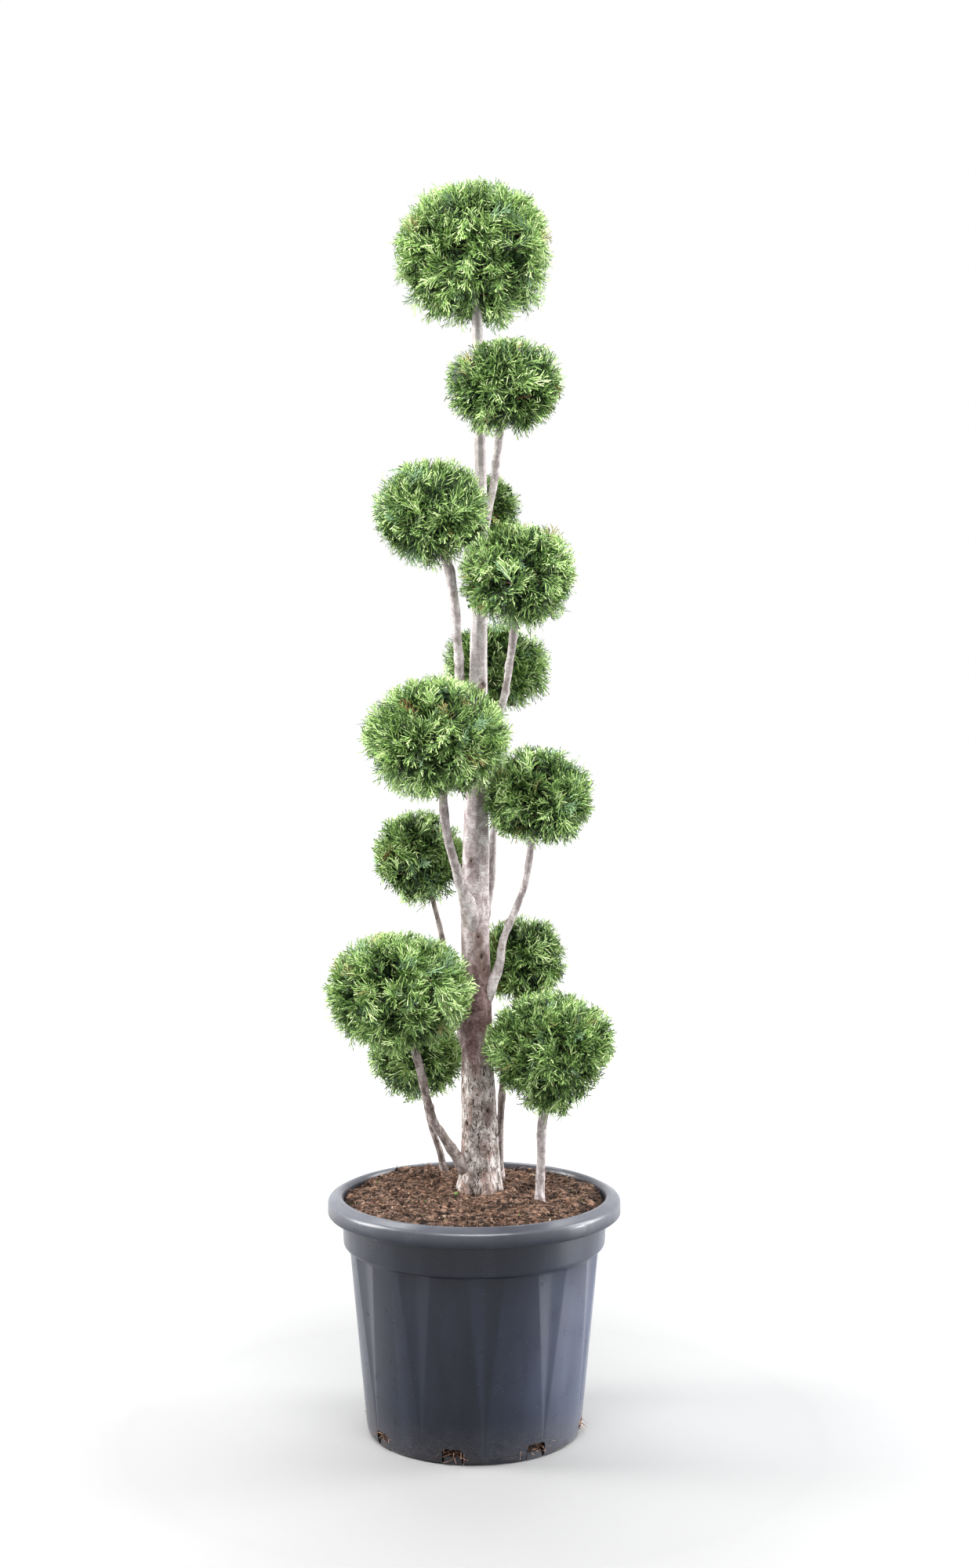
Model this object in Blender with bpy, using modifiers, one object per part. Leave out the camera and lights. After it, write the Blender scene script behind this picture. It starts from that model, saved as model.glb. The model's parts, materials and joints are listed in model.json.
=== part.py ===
"""Potted thuja, cloud-pruned: thirteen clipped balls of foliage on a trunk, nine boughs and three stems.

Metres, +Z up. The origin is the middle of the pot's flat underside, and -Y is the front.
Left and right are as seen from the front. The balls count down from the top of the plant.
"""

import math
import random

import bmesh
import bpy
from mathutils import Matrix, Vector

# Clearances
GAP = 0.0003
FACET_GAP = 0.0005
LEAF_CLEARANCE = 0.0035
TRUNK_ROOM = 0.002

# Pot, a turned shell of thin plastic
POT_HEIGHT = 0.340
RIM_RADIUS = 0.2112
RIM_DEPTH = 0.028
BAND_RADIUS = 0.1885
BAND_FOOT = 0.270
BODY_TOP_RADIUS = 0.1795
BODY_FOOT_RADIUS = 0.1550
WALL = 0.0025
FLOOR = 0.0030
FLUTES = 11
FLUTE_DEPTH = 0.0018
FLUTE_TURN = math.radians(5.2)
FLUTE_STEPS = 4
POT_STEPS = FLUTE_STEPS * FLUTES

# Drain notches round the pot's foot
NOTCHES = 8
NOTCH_WIDTH = 0.030
NOTCH_HEIGHT = 0.023
NOTCH_INNER_RADIUS = 0.134
NOTCH_CORNER = 0.006
NOTCH_TURN = math.radians(-11)

# Soil
SOIL_EDGE_HEIGHT = 0.3315
SOIL_MOUND = 0.013
SOIL_HEAP = 0.009
SOIL_HEAP_AT = Vector((-0.085, 0.105))
SOIL_HEAP_SPREAD = 0.055
SOIL_EDGE_SPREAD = 0.0015
SOIL_RINGS = 3
SOIL_ROUGHNESS = 0.0012
FOOT_DEPTH = 0.0035
FOOT_RUN = 0.006
FOOT_ROOM = 0.0020

# Trunk: height, lean to the right, lean to the back, and radius
TRUNK_STATIONS = (
    (0.340, 0.0068, 0.000, 0.0262),
    (0.424, 0.0078, 0.000, 0.0256),
    (0.520, 0.0046, -0.002, 0.0231),
    (0.620, 0.0046, -0.003, 0.0205),
    (0.714, 0.0012, -0.002, 0.0207),
    (0.816, 0.0023, 0.000, 0.0198),
    (0.914, 0.0031, 0.002, 0.0164),
    (1.090, 0.0060, 0.002, 0.0128),
    (1.225, 0.0068, 0.000, 0.0108),
    (1.338, 0.0100, -0.002, 0.0087),
    (1.446, 0.0073, -0.001, 0.0081),
    (1.560, 0.0046, 0.000, 0.0075),
)
ROOT_FLARE = 0.0068
ROOT_FLARE_HEIGHT = 0.030
FLARE_STEPS = (0.018, 0.036, 0.060)
TRUNK_SIDES = 12
TRUNK_STEP = 0.050
LIMB_SIDES = 8
LIMB_STEP = 0.028

# Balls: centre, half width, height above and below the centre, and how square each half is
BALLS = {
    "ball_01": ((-0.001, 0.000, 1.704), 0.1134, 0.0950, 0.1160, 2.6, 2.3),
    "ball_02": ((0.043, -0.055, 1.500), 0.0866, 0.0670, 0.0735, 2.2, 2.1),
    "ball_03": ((-0.062, -0.045, 1.321), 0.0850, 0.0775, 0.0800, 2.2, 2.1),
    "ball_04": ((0.008, 0.092, 1.333), 0.0640, 0.0585, 0.0580, 2.1, 2.1),
    "ball_05": ((0.062, -0.085, 1.228), 0.0846, 0.0770, 0.0760, 2.2, 2.2),
    "ball_06": ((0.031, 0.092, 1.100), 0.0840, 0.0640, 0.0710, 2.2, 2.1),
    "ball_07": ((-0.052, -0.100, 1.001), 0.1055, 0.0875, 0.0885, 2.2, 2.1),
    "ball_08": ((0.091, -0.042, 0.914), 0.0812, 0.0740, 0.0750, 2.2, 2.1),
    "ball_09": ((-0.081, 0.070, 0.820), 0.0707, 0.0710, 0.0730, 2.1, 2.1),
    "ball_10": ((-0.106, -0.080, 0.640), 0.1080, 0.0870, 0.0860, 2.2, 1.8),
    "ball_11": ((-0.086, 0.110, 0.521), 0.0740, 0.0700, 0.0705, 2.1, 2.1),
    "ball_12": ((0.071, 0.110, 0.661), 0.0665, 0.0665, 0.0660, 2.4, 2.1),
    "ball_13": ((0.107, -0.060, 0.560), 0.0955, 0.0800, 0.1120, 2.2, 1.3),
}

# Limbs, each with its radius at foot and tip. It starts at a height on the trunk, or at a place in the soil,
# goes by its bends, and ends at the ball of its own number
LIMBS = {
    "bough_02": (1.272, 0.0076, 0.0056, ((0.0193, -0.012, 1.323), (0.0250, -0.020, 1.350),
                                         (0.0327, -0.035, 1.401))),
    "bough_03": (0.915, 0.0095, 0.0068, ((-0.0123, -0.004, 1.008), (-0.0212, -0.006, 1.075),
                                         (-0.0250, -0.020, 1.160), (-0.0340, -0.034, 1.230))),
    "bough_04": (1.195, 0.0070, 0.0047, ((0.0095, 0.022, 1.236), (0.0100, 0.044, 1.258))),
    "bough_05": (0.950, 0.0085, 0.0057, ((0.0304, -0.030, 1.022), (0.0426, -0.046, 1.052),
                                         (0.0492, -0.060, 1.091), (0.0535, -0.070, 1.127))),
    "bough_06": (0.690, 0.0082, 0.0052, ((0.0250, 0.032, 0.793), (0.0268, 0.044, 0.850),
                                         (0.0350, 0.075, 0.984))),
    "bough_07": (0.715, 0.0125, 0.0060, ((-0.0120, -0.028, 0.768), (-0.0222, -0.040, 0.795),
                                         (-0.0400, -0.073, 0.871))),
    "bough_08": (0.598, 0.0090, 0.0048, ((0.0330, -0.012, 0.662), (0.0418, -0.020, 0.706),
                                         (0.0690, -0.030, 0.777), (0.0775, -0.036, 0.822))),
    "bough_09": (0.505, 0.0088, 0.0036, ((-0.0210, 0.032, 0.573), (-0.0313, 0.046, 0.617),
                                         (-0.0490, 0.062, 0.707))),
    "bough_10": (0.352, 0.0100, 0.0062, ((-0.0290, -0.026, 0.402), (-0.0480, -0.036, 0.434),
                                         (-0.0601, -0.045, 0.455), (-0.0765, -0.062, 0.530))),
    "stem_11": ((-0.044, 0.100), 0.0060, 0.0048, ((-0.0532, 0.100, 0.380), (-0.0640, 0.104, 0.412))),
    "stem_12": ((0.038, 0.062), 0.0062, 0.0050, ((0.0380, 0.064, 0.395), (0.0395, 0.069, 0.463),
                                                 (0.0556, 0.093, 0.563))),
    "stem_13": ((0.0935, -0.044), 0.0070, 0.0068, ((0.0940, -0.046, 0.374), (0.0955, -0.051, 0.425))),
}

# Foliage: a spray's length and width are shares of its ball's half width, its thickness a share of its length
CORE_SHARE = 0.85
CORE_FINENESS = 2
SPRAYS = 24
SPRAY_LENGTH = 0.66
SPRAY_WIDTH = 0.64
SPRAY_THICKNESS = 0.05
SPRAY_TIPS = 5
SPRAY_LEAN = math.radians(40)
SPRAY_MIDDLE = 0.72
SPRAY_TWIST = 0.45
LUMPS = 0.035
BALL_ENTRY = 0.985
BALL_STEM_LEAD = 0.012

BARK_BROWN = (0.165, 0.118, 0.088)
BARK_PALE = (0.270, 0.205, 0.170)
LEAF_GREEN = (0.060, 0.120, 0.022)
PEAT_BROWN = (0.085, 0.040, 0.021)
POT_SLATE = (0.030, 0.035, 0.047)


def material(name, colour, roughness, metallic=0.0):
    made = bpy.data.materials.new(name)
    made.use_nodes = True
    made.diffuse_color = (*colour, 1.0)
    shader = made.node_tree.nodes["Principled BSDF"]
    shader.inputs["Base Color"].default_value = (*colour, 1.0)
    shader.inputs["Roughness"].default_value = roughness
    shader.inputs["Metallic"].default_value = metallic
    return made


def collection(name, hidden=False):
    made = bpy.data.collections.new(name)
    made.hide_render = hidden
    bpy.context.scene.collection.children.link(made)
    return made


def object_from_bmesh(name, bm, group):
    mesh = bpy.data.meshes.new(name)
    bm.to_mesh(mesh)
    bm.free()
    made = bpy.data.objects.new(name, mesh)
    group.objects.link(made)
    return made


def as_cutter(obj):
    obj.hide_render = True
    obj.display_type = "WIRE"
    return obj


def remove(obj):
    data = obj.data
    bpy.data.objects.remove(obj)
    if data.users == 0:
        data.user_clear()
        if isinstance(data, bpy.types.Mesh):
            bpy.data.meshes.remove(data)
        else:
            bpy.data.curves.remove(data)


def evaluated_mesh(obj):
    bpy.context.view_layer.update()
    graph = bpy.context.evaluated_depsgraph_get()
    return bpy.data.meshes.new_from_object(obj.evaluated_get(graph))


def apply_modifiers(obj):
    old = obj.data
    obj.data = evaluated_mesh(obj)
    obj.modifiers.clear()
    bpy.data.meshes.remove(old)


def boolean(obj, operation, other=None, group=None):
    cut = obj.modifiers.new(operation.title(), "BOOLEAN")
    cut.operation = operation
    if group is None:
        cut.object = other
    else:
        cut.operand_type = "COLLECTION"
        cut.collection = group
    apply_modifiers(obj)


def smooth_by_angle(obj, degrees):
    obj.data.shade_smooth()
    obj.data.set_sharp_from_angle(angle=math.radians(degrees))


def turned(name, profile, steps, group):
    """A profile in the XZ plane turned round the Z axis, with its columns in line with the flutes."""
    mesh = bpy.data.meshes.new(name)
    edges = [(i, i + 1) for i in range(len(profile) - 1)]
    mesh.from_pydata([(x, 0.0, z) for x, z in profile], edges, [])
    made = bpy.data.objects.new(name, mesh)
    group.objects.link(made)
    screw = made.modifiers.new("Turn", "SCREW")
    screw.steps = steps
    screw.render_steps = steps
    screw.use_merge_vertices = True
    screw.merge_threshold = 0.00005
    apply_modifiers(made)
    made.data.transform(Matrix.Rotation(FLUTE_TURN, 4, "Z"))
    return made


def tube(name, points, radii, sides, group):
    """A tapering limb through the points, with a flat cut at each end."""
    curve = bpy.data.curves.new(name, "CURVE")
    curve.dimensions = "3D"
    curve.bevel_depth = 0.01
    curve.bevel_resolution = (sides - 4) // 2
    curve.use_fill_caps = True
    spline = curve.splines.new("POLY")
    spline.points.add(len(points) - 1)
    for knot, place, radius in zip(spline.points, points, radii):
        knot.co = (*place, 1.0)
        knot.radius = radius / curve.bevel_depth
    guide = bpy.data.objects.new(name + "_route", curve)
    group.objects.link(guide)
    mesh = evaluated_mesh(guide)
    bm = bmesh.new()
    bm.from_mesh(mesh)
    bmesh.ops.remove_doubles(bm, verts=bm.verts, dist=0.00001)
    bmesh.ops.recalc_face_normals(bm, faces=bm.faces)
    bpy.data.meshes.remove(mesh)
    made = object_from_bmesh(name, bm, group)
    made.matrix_world = guide.matrix_world
    remove(guide)
    return made


def spline_through(points, step):
    """Places about one step apart on a smooth curve through the points, with each one's share of the way."""
    ends = [2 * points[0] - points[1], *points, 2 * points[-1] - points[-2]]
    places = []
    for before, start, end, after in zip(ends, ends[1:], ends[2:], ends[3:]):
        count = max(1, round((end - start).length / step))
        for i in range(count):
            t = i / count
            places.append(
                0.5 * (2 * start + (end - before) * t
                       + (2 * before - 5 * start + 4 * end - after) * t ** 2
                       + (3 * start - before - 3 * end + after) * t ** 3)
            )
    places.append(points[-1].copy())
    walked = [0.0]
    for a, b in zip(places, places[1:]):
        walked.append(walked[-1] + (b - a).length)
    return places, [w / walked[-1] for w in walked]


def between(low, high, share):
    return low + (high - low) * share


def trunk_at(height):
    """The trunk's middle and radius at a height."""
    stations = TRUNK_STATIONS
    rows = zip(stations, stations[1:])
    low, high = next((pair for pair in rows if height <= pair[1][0]), stations[-2:])
    share = (height - low[0]) / (high[0] - low[0])
    x, y, radius = (between(a, b, share) for a, b in zip(low[1:], high[1:]))
    flare = ROOT_FLARE * math.exp(-(height - stations[0][0]) / ROOT_FLARE_HEIGHT)
    return Vector((x, y, height)), radius + flare


def soil_height(x, y):
    """The soil's surface: a low mound, a heap at the back left, and small unevenness."""
    away = math.hypot(x, y) / BAND_RADIUS
    heap = (Vector((x, y)) - SOIL_HEAP_AT).length / SOIL_HEAP_SPREAD
    rough = SOIL_ROUGHNESS * (math.sin(61 * x + 1.3) * math.cos(47 * y) + math.sin(83 * (x + y)))
    return SOIL_EDGE_HEIGHT + SOIL_MOUND * (1 - away ** 2) + SOIL_HEAP * math.exp(-heap ** 2) + rough


def ball_reach(ball, direction):
    """How far the ball's clipped outline lies from its centre in a direction."""
    _, half_width, above, below, top_square, foot_square = BALLS[ball]
    height, square = (above, top_square) if direction.z > 0 else (below, foot_square)
    around = math.hypot(direction.x, direction.y) / half_width
    upright = abs(direction.z) / height
    lumps = math.sin(5 * direction.x + 2.1 * int(ball[-2:])) * math.sin(4 * direction.y + 3 * direction.z)
    return (1 + LUMPS * lumps) * (around ** square + upright ** square) ** (-1 / square)


def ball_centre(ball):
    return Vector(BALLS[ball][0])


def entry(ball, start):
    """Where a limb on its way from a point to the ball's centre meets the outline."""
    inward = (ball_centre(ball) - start).normalized()
    return ball_centre(ball) - BALL_ENTRY * ball_reach(ball, -inward) * inward


def trunk_route():
    foot = soil_height(*trunk_at(TRUNK_STATIONS[0][0])[0].xy) - FOOT_DEPTH
    top = entry("ball_01", trunk_at(TRUNK_STATIONS[-1][0])[0])
    heights = [foot, foot + FOOT_RUN, *(foot + rise for rise in FLARE_STEPS)]
    count = round((top.z - heights[-1]) / TRUNK_STEP)
    heights += [between(heights[-1], top.z, (i + 1) / count) for i in range(count)]
    rows = [trunk_at(height) for height in heights]
    points = [place for place, _ in rows]
    points[0].xy = points[1].xy
    points[-1] = top
    return points, [radius for _, radius in rows]


def ball_of(limb):
    return "ball_" + limb[-2:]


def limb_route(name):
    """The limb's places and radii, from inside the trunk or a flat foot in the soil to its ball."""
    start, foot_radius, tip_radius, bends = LIMBS[name]
    bends = [Vector(bend) for bend in bends]
    if isinstance(start, tuple):
        foot = Vector((*start, soil_height(*start) - FOOT_DEPTH))
        lead = [foot, foot + Vector((0, 0, FOOT_RUN))]
    else:
        lead = [trunk_at(start)[0]]
    tip = entry(ball_of(name), bends[-1])
    places, shares = spline_through([lead[-1], *bends, tip], LIMB_STEP)
    radii = [between(foot_radius, tip_radius, share ** 0.7) for share in shares]
    if len(lead) == 2:
        places.insert(0, lead[0])
        radii.insert(0, foot_radius)
    return places, radii


def pot_profile():
    """Inside floor and wall going up, over the rolled rim, down the outside and in along the underside."""
    top = POT_HEIGHT
    return [
        (0.0, FLOOR),
        (BODY_FOOT_RADIUS - WALL - 0.006, FLOOR),
        (BODY_FOOT_RADIUS - WALL, FLOOR + 0.010),
        (BODY_TOP_RADIUS - WALL, BAND_FOOT - 0.006),
        (BAND_RADIUS - WALL, BAND_FOOT + 0.002),
        (BAND_RADIUS, top - 0.006),
        (BAND_RADIUS + 0.004, top - 0.001),
        (BAND_RADIUS + 0.011, top),
        (RIM_RADIUS - 0.004, top - 0.002),
        (RIM_RADIUS, top - 0.008),
        (RIM_RADIUS, top - RIM_DEPTH + 0.002),
        (RIM_RADIUS - 0.003, top - RIM_DEPTH),
        (RIM_RADIUS - 0.003, top - 0.007),
        (BAND_RADIUS + 0.003, top - 0.008),
        (BAND_RADIUS, BAND_FOOT),
        (BODY_TOP_RADIUS, BAND_FOOT - 0.007),
        (between(BODY_TOP_RADIUS, BODY_FOOT_RADIUS, 0.5), BAND_FOOT / 2),
        (BODY_FOOT_RADIUS, 0.012),
        (BODY_FOOT_RADIUS - 0.002, 0.004),
        (BODY_FOOT_RADIUS - 0.006, 0.0),
        (0.0, 0.0),
    ]


def is_outer_body(place):
    """True on the body's outer face, under the band and above the rounded foot."""
    if not 0.011 < place.z < BAND_FOOT - 0.005:
        return False
    share = (place.z - 0.012) / (BAND_FOOT - 0.019)
    outer = between(BODY_FOOT_RADIUS, BODY_TOP_RADIUS, share)
    return place.xy.length > outer - WALL / 2


def make_pot(group, cutters):
    pot = turned("pot", pot_profile(), POT_STEPS, group)
    for vertex in pot.data.vertices:
        if is_outer_body(vertex.co):
            column = round((math.atan2(vertex.co.y, vertex.co.x) - FLUTE_TURN) / math.tau * POT_STEPS)
            if (column + FLUTES) % FLUTE_STEPS == 0:
                depth = FLUTE_DEPTH * vertex.co.z / BAND_FOOT
                vertex.co.xy *= 1 - depth / vertex.co.xy.length
    for i in range(NOTCHES):
        bm = bmesh.new()
        bmesh.ops.create_cube(bm, size=1.0)
        radial = 2 * (BODY_FOOT_RADIUS - NOTCH_INNER_RADIUS)
        bmesh.ops.scale(bm, vec=(NOTCH_WIDTH, radial, 2 * NOTCH_HEIGHT), verts=bm.verts)
        long_edges = [edge for edge in bm.edges if abs((edge.verts[0].co - edge.verts[1].co).y) > radial / 2]
        bmesh.ops.bevel(bm, geom=long_edges, offset=NOTCH_CORNER, segments=2, affect="EDGES", profile=0.5)
        notch = as_cutter(object_from_bmesh(f"notch_{i}", bm, cutters))
        turn = Matrix.Rotation(NOTCH_TURN + math.tau * i / NOTCHES, 4, "Z")
        notch.matrix_world = turn @ Matrix.Translation((0, -BODY_FOOT_RADIUS, 0))
        boolean(pot, "DIFFERENCE", notch)
    smooth_by_angle(pot, 35)
    return pot


def make_soil(group, cutters, feet):
    """Peat that fills the pot and is pocketed under each foot."""
    side = [(radius - FACET_GAP, height) for radius, height in pot_profile()[1:5]]
    side[0] = (side[0][0], FLOOR + GAP)
    edge = side[3][0] + SOIL_EDGE_SPREAD
    rings = [edge * i / (SOIL_RINGS + 0.5) for i in range(SOIL_RINGS + 1)]
    surface = [(radius, POT_HEIGHT) for radius in (*rings, edge)]
    profile = [*surface, *reversed(side), (0.0, FLOOR + GAP)]
    soil = turned("soil", profile, POT_STEPS, group)
    for vertex in soil.data.vertices:
        if vertex.co.z > BAND_FOOT + 0.01:
            vertex.co.z = soil_height(vertex.co.x, vertex.co.y)
    for i, (place, radius) in enumerate(feet):
        low = place - Vector((0, 0, GAP))
        high = place + Vector((0, 0, SOIL_MOUND))
        pocket = tube(f"pocket_{i}", [low, high], [radius + FOOT_ROOM] * 2, TRUNK_SIDES, cutters)
        boolean(soil, "DIFFERENCE", as_cutter(pocket))
    smooth_by_angle(soil, 40)
    return soil


def spray_outline(length, width, chance):
    """A flat toothed fan in its own plane, from its root at the origin out along +X."""
    middle = SPRAY_MIDDLE * length
    widest = math.radians(90)
    outline = [Vector((0.0, 0.0))]
    for i in range(2 * SPRAY_TIPS - 1):
        turn = between(-widest, widest, i / (2 * SPRAY_TIPS - 2))
        reach = chance.uniform(0.50, 0.62) if i % 2 else chance.uniform(0.88, 1.0)
        outline.append(Vector((middle + reach * (length - middle) * math.cos(turn),
                               reach * width / 2 * math.sin(turn))))
    return outline, Vector((middle, 0.0))


def spray_places(ball, index, count, chance):
    """The spray's outline and middle in space, and its facing. It leans up, with its tip on the outline."""
    height = 1 - 2 * (index + 0.5) / count
    turn = index * math.pi * (3 - math.sqrt(5)) + chance.uniform(-0.2, 0.2)
    level = math.sqrt(1 - height ** 2)
    outward = Vector((level * math.cos(turn), level * math.sin(turn), height))
    across = Vector((-math.sin(turn), math.cos(turn), 0.0))
    upward = outward.cross(across)
    spread = chance.uniform(-0.6, 0.6)
    lean = SPRAY_LEAN * chance.uniform(0.75, 1.25)
    climb = (upward * math.cos(spread) + across * math.sin(spread)) * (1.0 if height > -0.8 else 0.4)
    axis = (outward * math.cos(lean) + climb * math.sin(lean)).normalized()
    tip = ball_centre(ball) + ball_reach(ball, outward) * chance.uniform(0.985, 1.03) * outward
    sideways = axis.cross(outward).normalized()
    sideways = Matrix.Rotation(chance.uniform(-SPRAY_TWIST, SPRAY_TWIST), 3, axis) @ sideways
    facing = axis.cross(sideways)
    half_width = BALLS[ball][1]
    length = SPRAY_LENGTH * half_width
    outline, middle = spray_outline(length, SPRAY_WIDTH * half_width, chance)
    root = tip - length * axis
    return [root + p.x * axis + p.y * sideways for p in (*outline, middle)], facing


def spray_is_clear(ball, places, limbs):
    """True where the spray keeps to its own ball's space and stays off every limb and other ball."""
    *outline, middle = places
    edges = [(a + b) / 2 for a, b in zip(outline, outline[1:] + outline[:1])]
    for point in [middle.lerp(end, share) for end in outline + edges for share in (0.3, 0.55, 0.8, 1.0)]:
        for other in BALLS:
            away = point - ball_centre(other)
            reach = ball_reach(other, away.normalized())
            if other == ball and away.length > 1.05 * reach:
                return False
            if other != ball and away.length < 1.01 * reach:
                return False
        for limb_points, radii in limbs:
            for start, end, radius in zip(limb_points, limb_points[1:], radii):
                run = end - start
                share = min(1.0, max(0.0, (point - start).dot(run) / run.length_squared))
                if (point - start - share * run).length < radius + LEAF_CLEARANCE:
                    return False
    return True


def make_spray(name, places, facing, group):
    """A fan that is thickest in its middle and thins out to its toothed edge."""
    *outline, middle = places
    bm = bmesh.new()
    rim = [bm.verts.new(place) for place in outline]
    half_thickness = SPRAY_THICKNESS * (middle - outline[0]).length
    peaks = [bm.verts.new(middle + side * half_thickness * facing) for side in (1, -1)]
    for a, b in zip(rim, rim[1:] + rim[:1]):
        bm.faces.new((a, b, peaks[0]))
        bm.faces.new((b, a, peaks[1]))
    bmesh.ops.recalc_face_normals(bm, faces=bm.faces)
    return object_from_bmesh(name, bm, group)


def make_core(ball, group):
    bm = bmesh.new()
    bmesh.ops.create_icosphere(bm, subdivisions=CORE_FINENESS, radius=1.0)
    for vertex in bm.verts:
        direction = vertex.co.normalized()
        vertex.co = ball_centre(ball) + CORE_SHARE * ball_reach(ball, direction) * direction
    return object_from_bmesh(ball, bm, group)


def keep_main_body(obj):
    """Drops loose scraps, and the skins of sealed hollows, which fills them."""
    bm = bmesh.new()
    bm.from_mesh(obj.data)
    left = set(bm.verts)
    bodies = []
    while left:
        body = {left.pop()}
        edge_of_body = set(body)
        while edge_of_body:
            edge_of_body = {e.other_vert(v) for v in edge_of_body for e in v.link_edges} - body
            body |= edge_of_body
        left -= body
        bodies.append(body)
    bodies.sort(key=len)
    scraps = [vertex for body in bodies[:-1] for vertex in body]
    bmesh.ops.delete(bm, geom=scraps, context="VERTS")
    bm.to_mesh(obj.data)
    bm.free()


def trunk_room(obj, trunk_top):
    """How near any vertex comes to the trunk's skin, below the trunk's tip."""
    beside = [vertex.co for vertex in obj.data.vertices if vertex.co.z < trunk_top]
    rows = [(place, *trunk_at(place.z)) for place in beside]
    return min(((place - middle).length - radius for place, middle, radius in rows), default=math.inf)


def make_ball(ball, stem, limbs, group, trunk_top, trunk_cutter):
    """A core, the stem that meets its limb's tip, and the sprays that stand out of it, joined as one body."""
    chance = random.Random(int(ball[-2:]) * 101)
    core = make_core(ball, group)
    pieces = collection(ball + "_pieces", hidden=True)
    tip, inward, radius = stem
    start = tip + GAP * inward
    points = [start, start + BALL_STEM_LEAD * inward, ball_centre(ball)]
    tube(ball + "_stem", points, [radius, radius, radius * 0.8], LIMB_SIDES, pieces)
    for i in range(SPRAYS):
        places, facing = spray_places(ball, i, SPRAYS, chance)
        if spray_is_clear(ball, places, limbs):
            make_spray(f"{ball}_spray_{i}", places, facing, pieces)
    boolean(core, "UNION", group=pieces)
    for piece in list(pieces.objects):
        remove(piece)
    bpy.data.collections.remove(pieces)
    if trunk_room(core, trunk_top) < TRUNK_ROOM:
        boolean(core, "DIFFERENCE", trunk_cutter)
    keep_main_body(core)
    return core


def main():
    for obj in list(bpy.data.objects):
        bpy.data.objects.remove(obj)
    plant = collection("potted_thuja")
    cutters = collection("cutters", hidden=True)

    bark = material("trunk_bark", BARK_BROWN, 0.85)
    bough_bark = material("bough_bark", BARK_PALE, 0.75)
    leaves = material("foliage", LEAF_GREEN, 0.62)
    peat = material("soil", PEAT_BROWN, 0.95)
    plastic = material("pot", POT_SLATE, 0.38)

    trunk_points, trunk_radii = trunk_route()
    trunk = tube("trunk", trunk_points, trunk_radii, TRUNK_SIDES, plant)
    wide_radii = [radius + FACET_GAP for radius in trunk_radii]
    trunk_cutter = as_cutter(tube("trunk_cutter", trunk_points, wide_radii, TRUNK_SIDES, cutters))
    trunk.data.materials.append(bark)
    smooth_by_angle(trunk, 50)

    limbs = {"trunk": (trunk_points, trunk_radii)}
    limbs.update((name, limb_route(name)) for name in LIMBS)
    stems = {"ball_01": (trunk_points, trunk_radii)}
    feet = [(trunk_points[0], trunk_radii[0])]
    for name, (start, *_) in LIMBS.items():
        points, radii = limbs[name]
        limb = tube(name, points, radii, LIMB_SIDES, plant)
        if isinstance(start, tuple):
            feet.append((points[0], radii[0]))
        else:
            boolean(limb, "DIFFERENCE", trunk_cutter)
            keep_main_body(limb)
        limb.data.materials.clear()
        limb.data.materials.append(bough_bark)
        smooth_by_angle(limb, 50)
        stems[ball_of(name)] = (points, radii)

    pot = make_pot(plant, cutters)
    pot.data.materials.append(plastic)
    soil = make_soil(plant, cutters, feet)
    soil.data.materials.clear()
    soil.data.materials.append(peat)

    for ball in BALLS:
        points, radii = stems[ball]
        inward = (points[-1] - points[-2]).normalized()
        stem = (points[-1], inward, radii[-1])
        foliage = make_ball(ball, stem, limbs.values(), plant, trunk_points[-1].z, trunk_cutter)
        foliage.data.materials.clear()
        foliage.data.materials.append(leaves)
        foliage.data.shade_flat()


main()
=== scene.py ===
"""Looks of the potted thuja: clipped balls of scale-leaf sprays on bark-covered limbs, in a pot of peat.

Metres, +Z up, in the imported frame. -Y is the front, and left and right are as seen from there.
Trunk, limbs, balls and pot repeat the named values that their solids are made from.
"""

import json
import math

import bmesh
import bpy
import numpy as np
from mathutils import Matrix, Vector, noise

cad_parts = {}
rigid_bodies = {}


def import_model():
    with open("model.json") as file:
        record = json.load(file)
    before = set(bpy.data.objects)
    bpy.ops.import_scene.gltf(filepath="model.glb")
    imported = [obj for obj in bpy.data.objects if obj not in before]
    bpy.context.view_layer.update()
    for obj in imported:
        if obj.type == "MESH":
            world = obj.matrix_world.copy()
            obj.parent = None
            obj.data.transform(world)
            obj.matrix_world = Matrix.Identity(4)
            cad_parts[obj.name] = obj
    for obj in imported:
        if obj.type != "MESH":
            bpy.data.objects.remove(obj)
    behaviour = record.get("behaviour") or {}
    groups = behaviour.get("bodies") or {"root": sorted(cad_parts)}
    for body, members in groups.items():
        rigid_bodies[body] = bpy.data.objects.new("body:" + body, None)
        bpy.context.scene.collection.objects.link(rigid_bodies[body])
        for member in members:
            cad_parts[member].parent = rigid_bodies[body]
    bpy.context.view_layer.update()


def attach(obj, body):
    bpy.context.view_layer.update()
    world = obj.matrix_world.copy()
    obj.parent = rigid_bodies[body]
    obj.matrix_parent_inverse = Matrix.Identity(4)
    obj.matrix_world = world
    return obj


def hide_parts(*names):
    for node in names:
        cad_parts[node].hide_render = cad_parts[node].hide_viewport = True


BODY = "root"

# Camera, level and in front of the plant, raised by shift alone
CAMERA_PLACE = (0.01474, -3.078, 1.0918)
CAMERA_LENS = 48.87
CAMERA_SENSOR = 36.0
CAMERA_SHIFT = -0.0715

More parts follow.
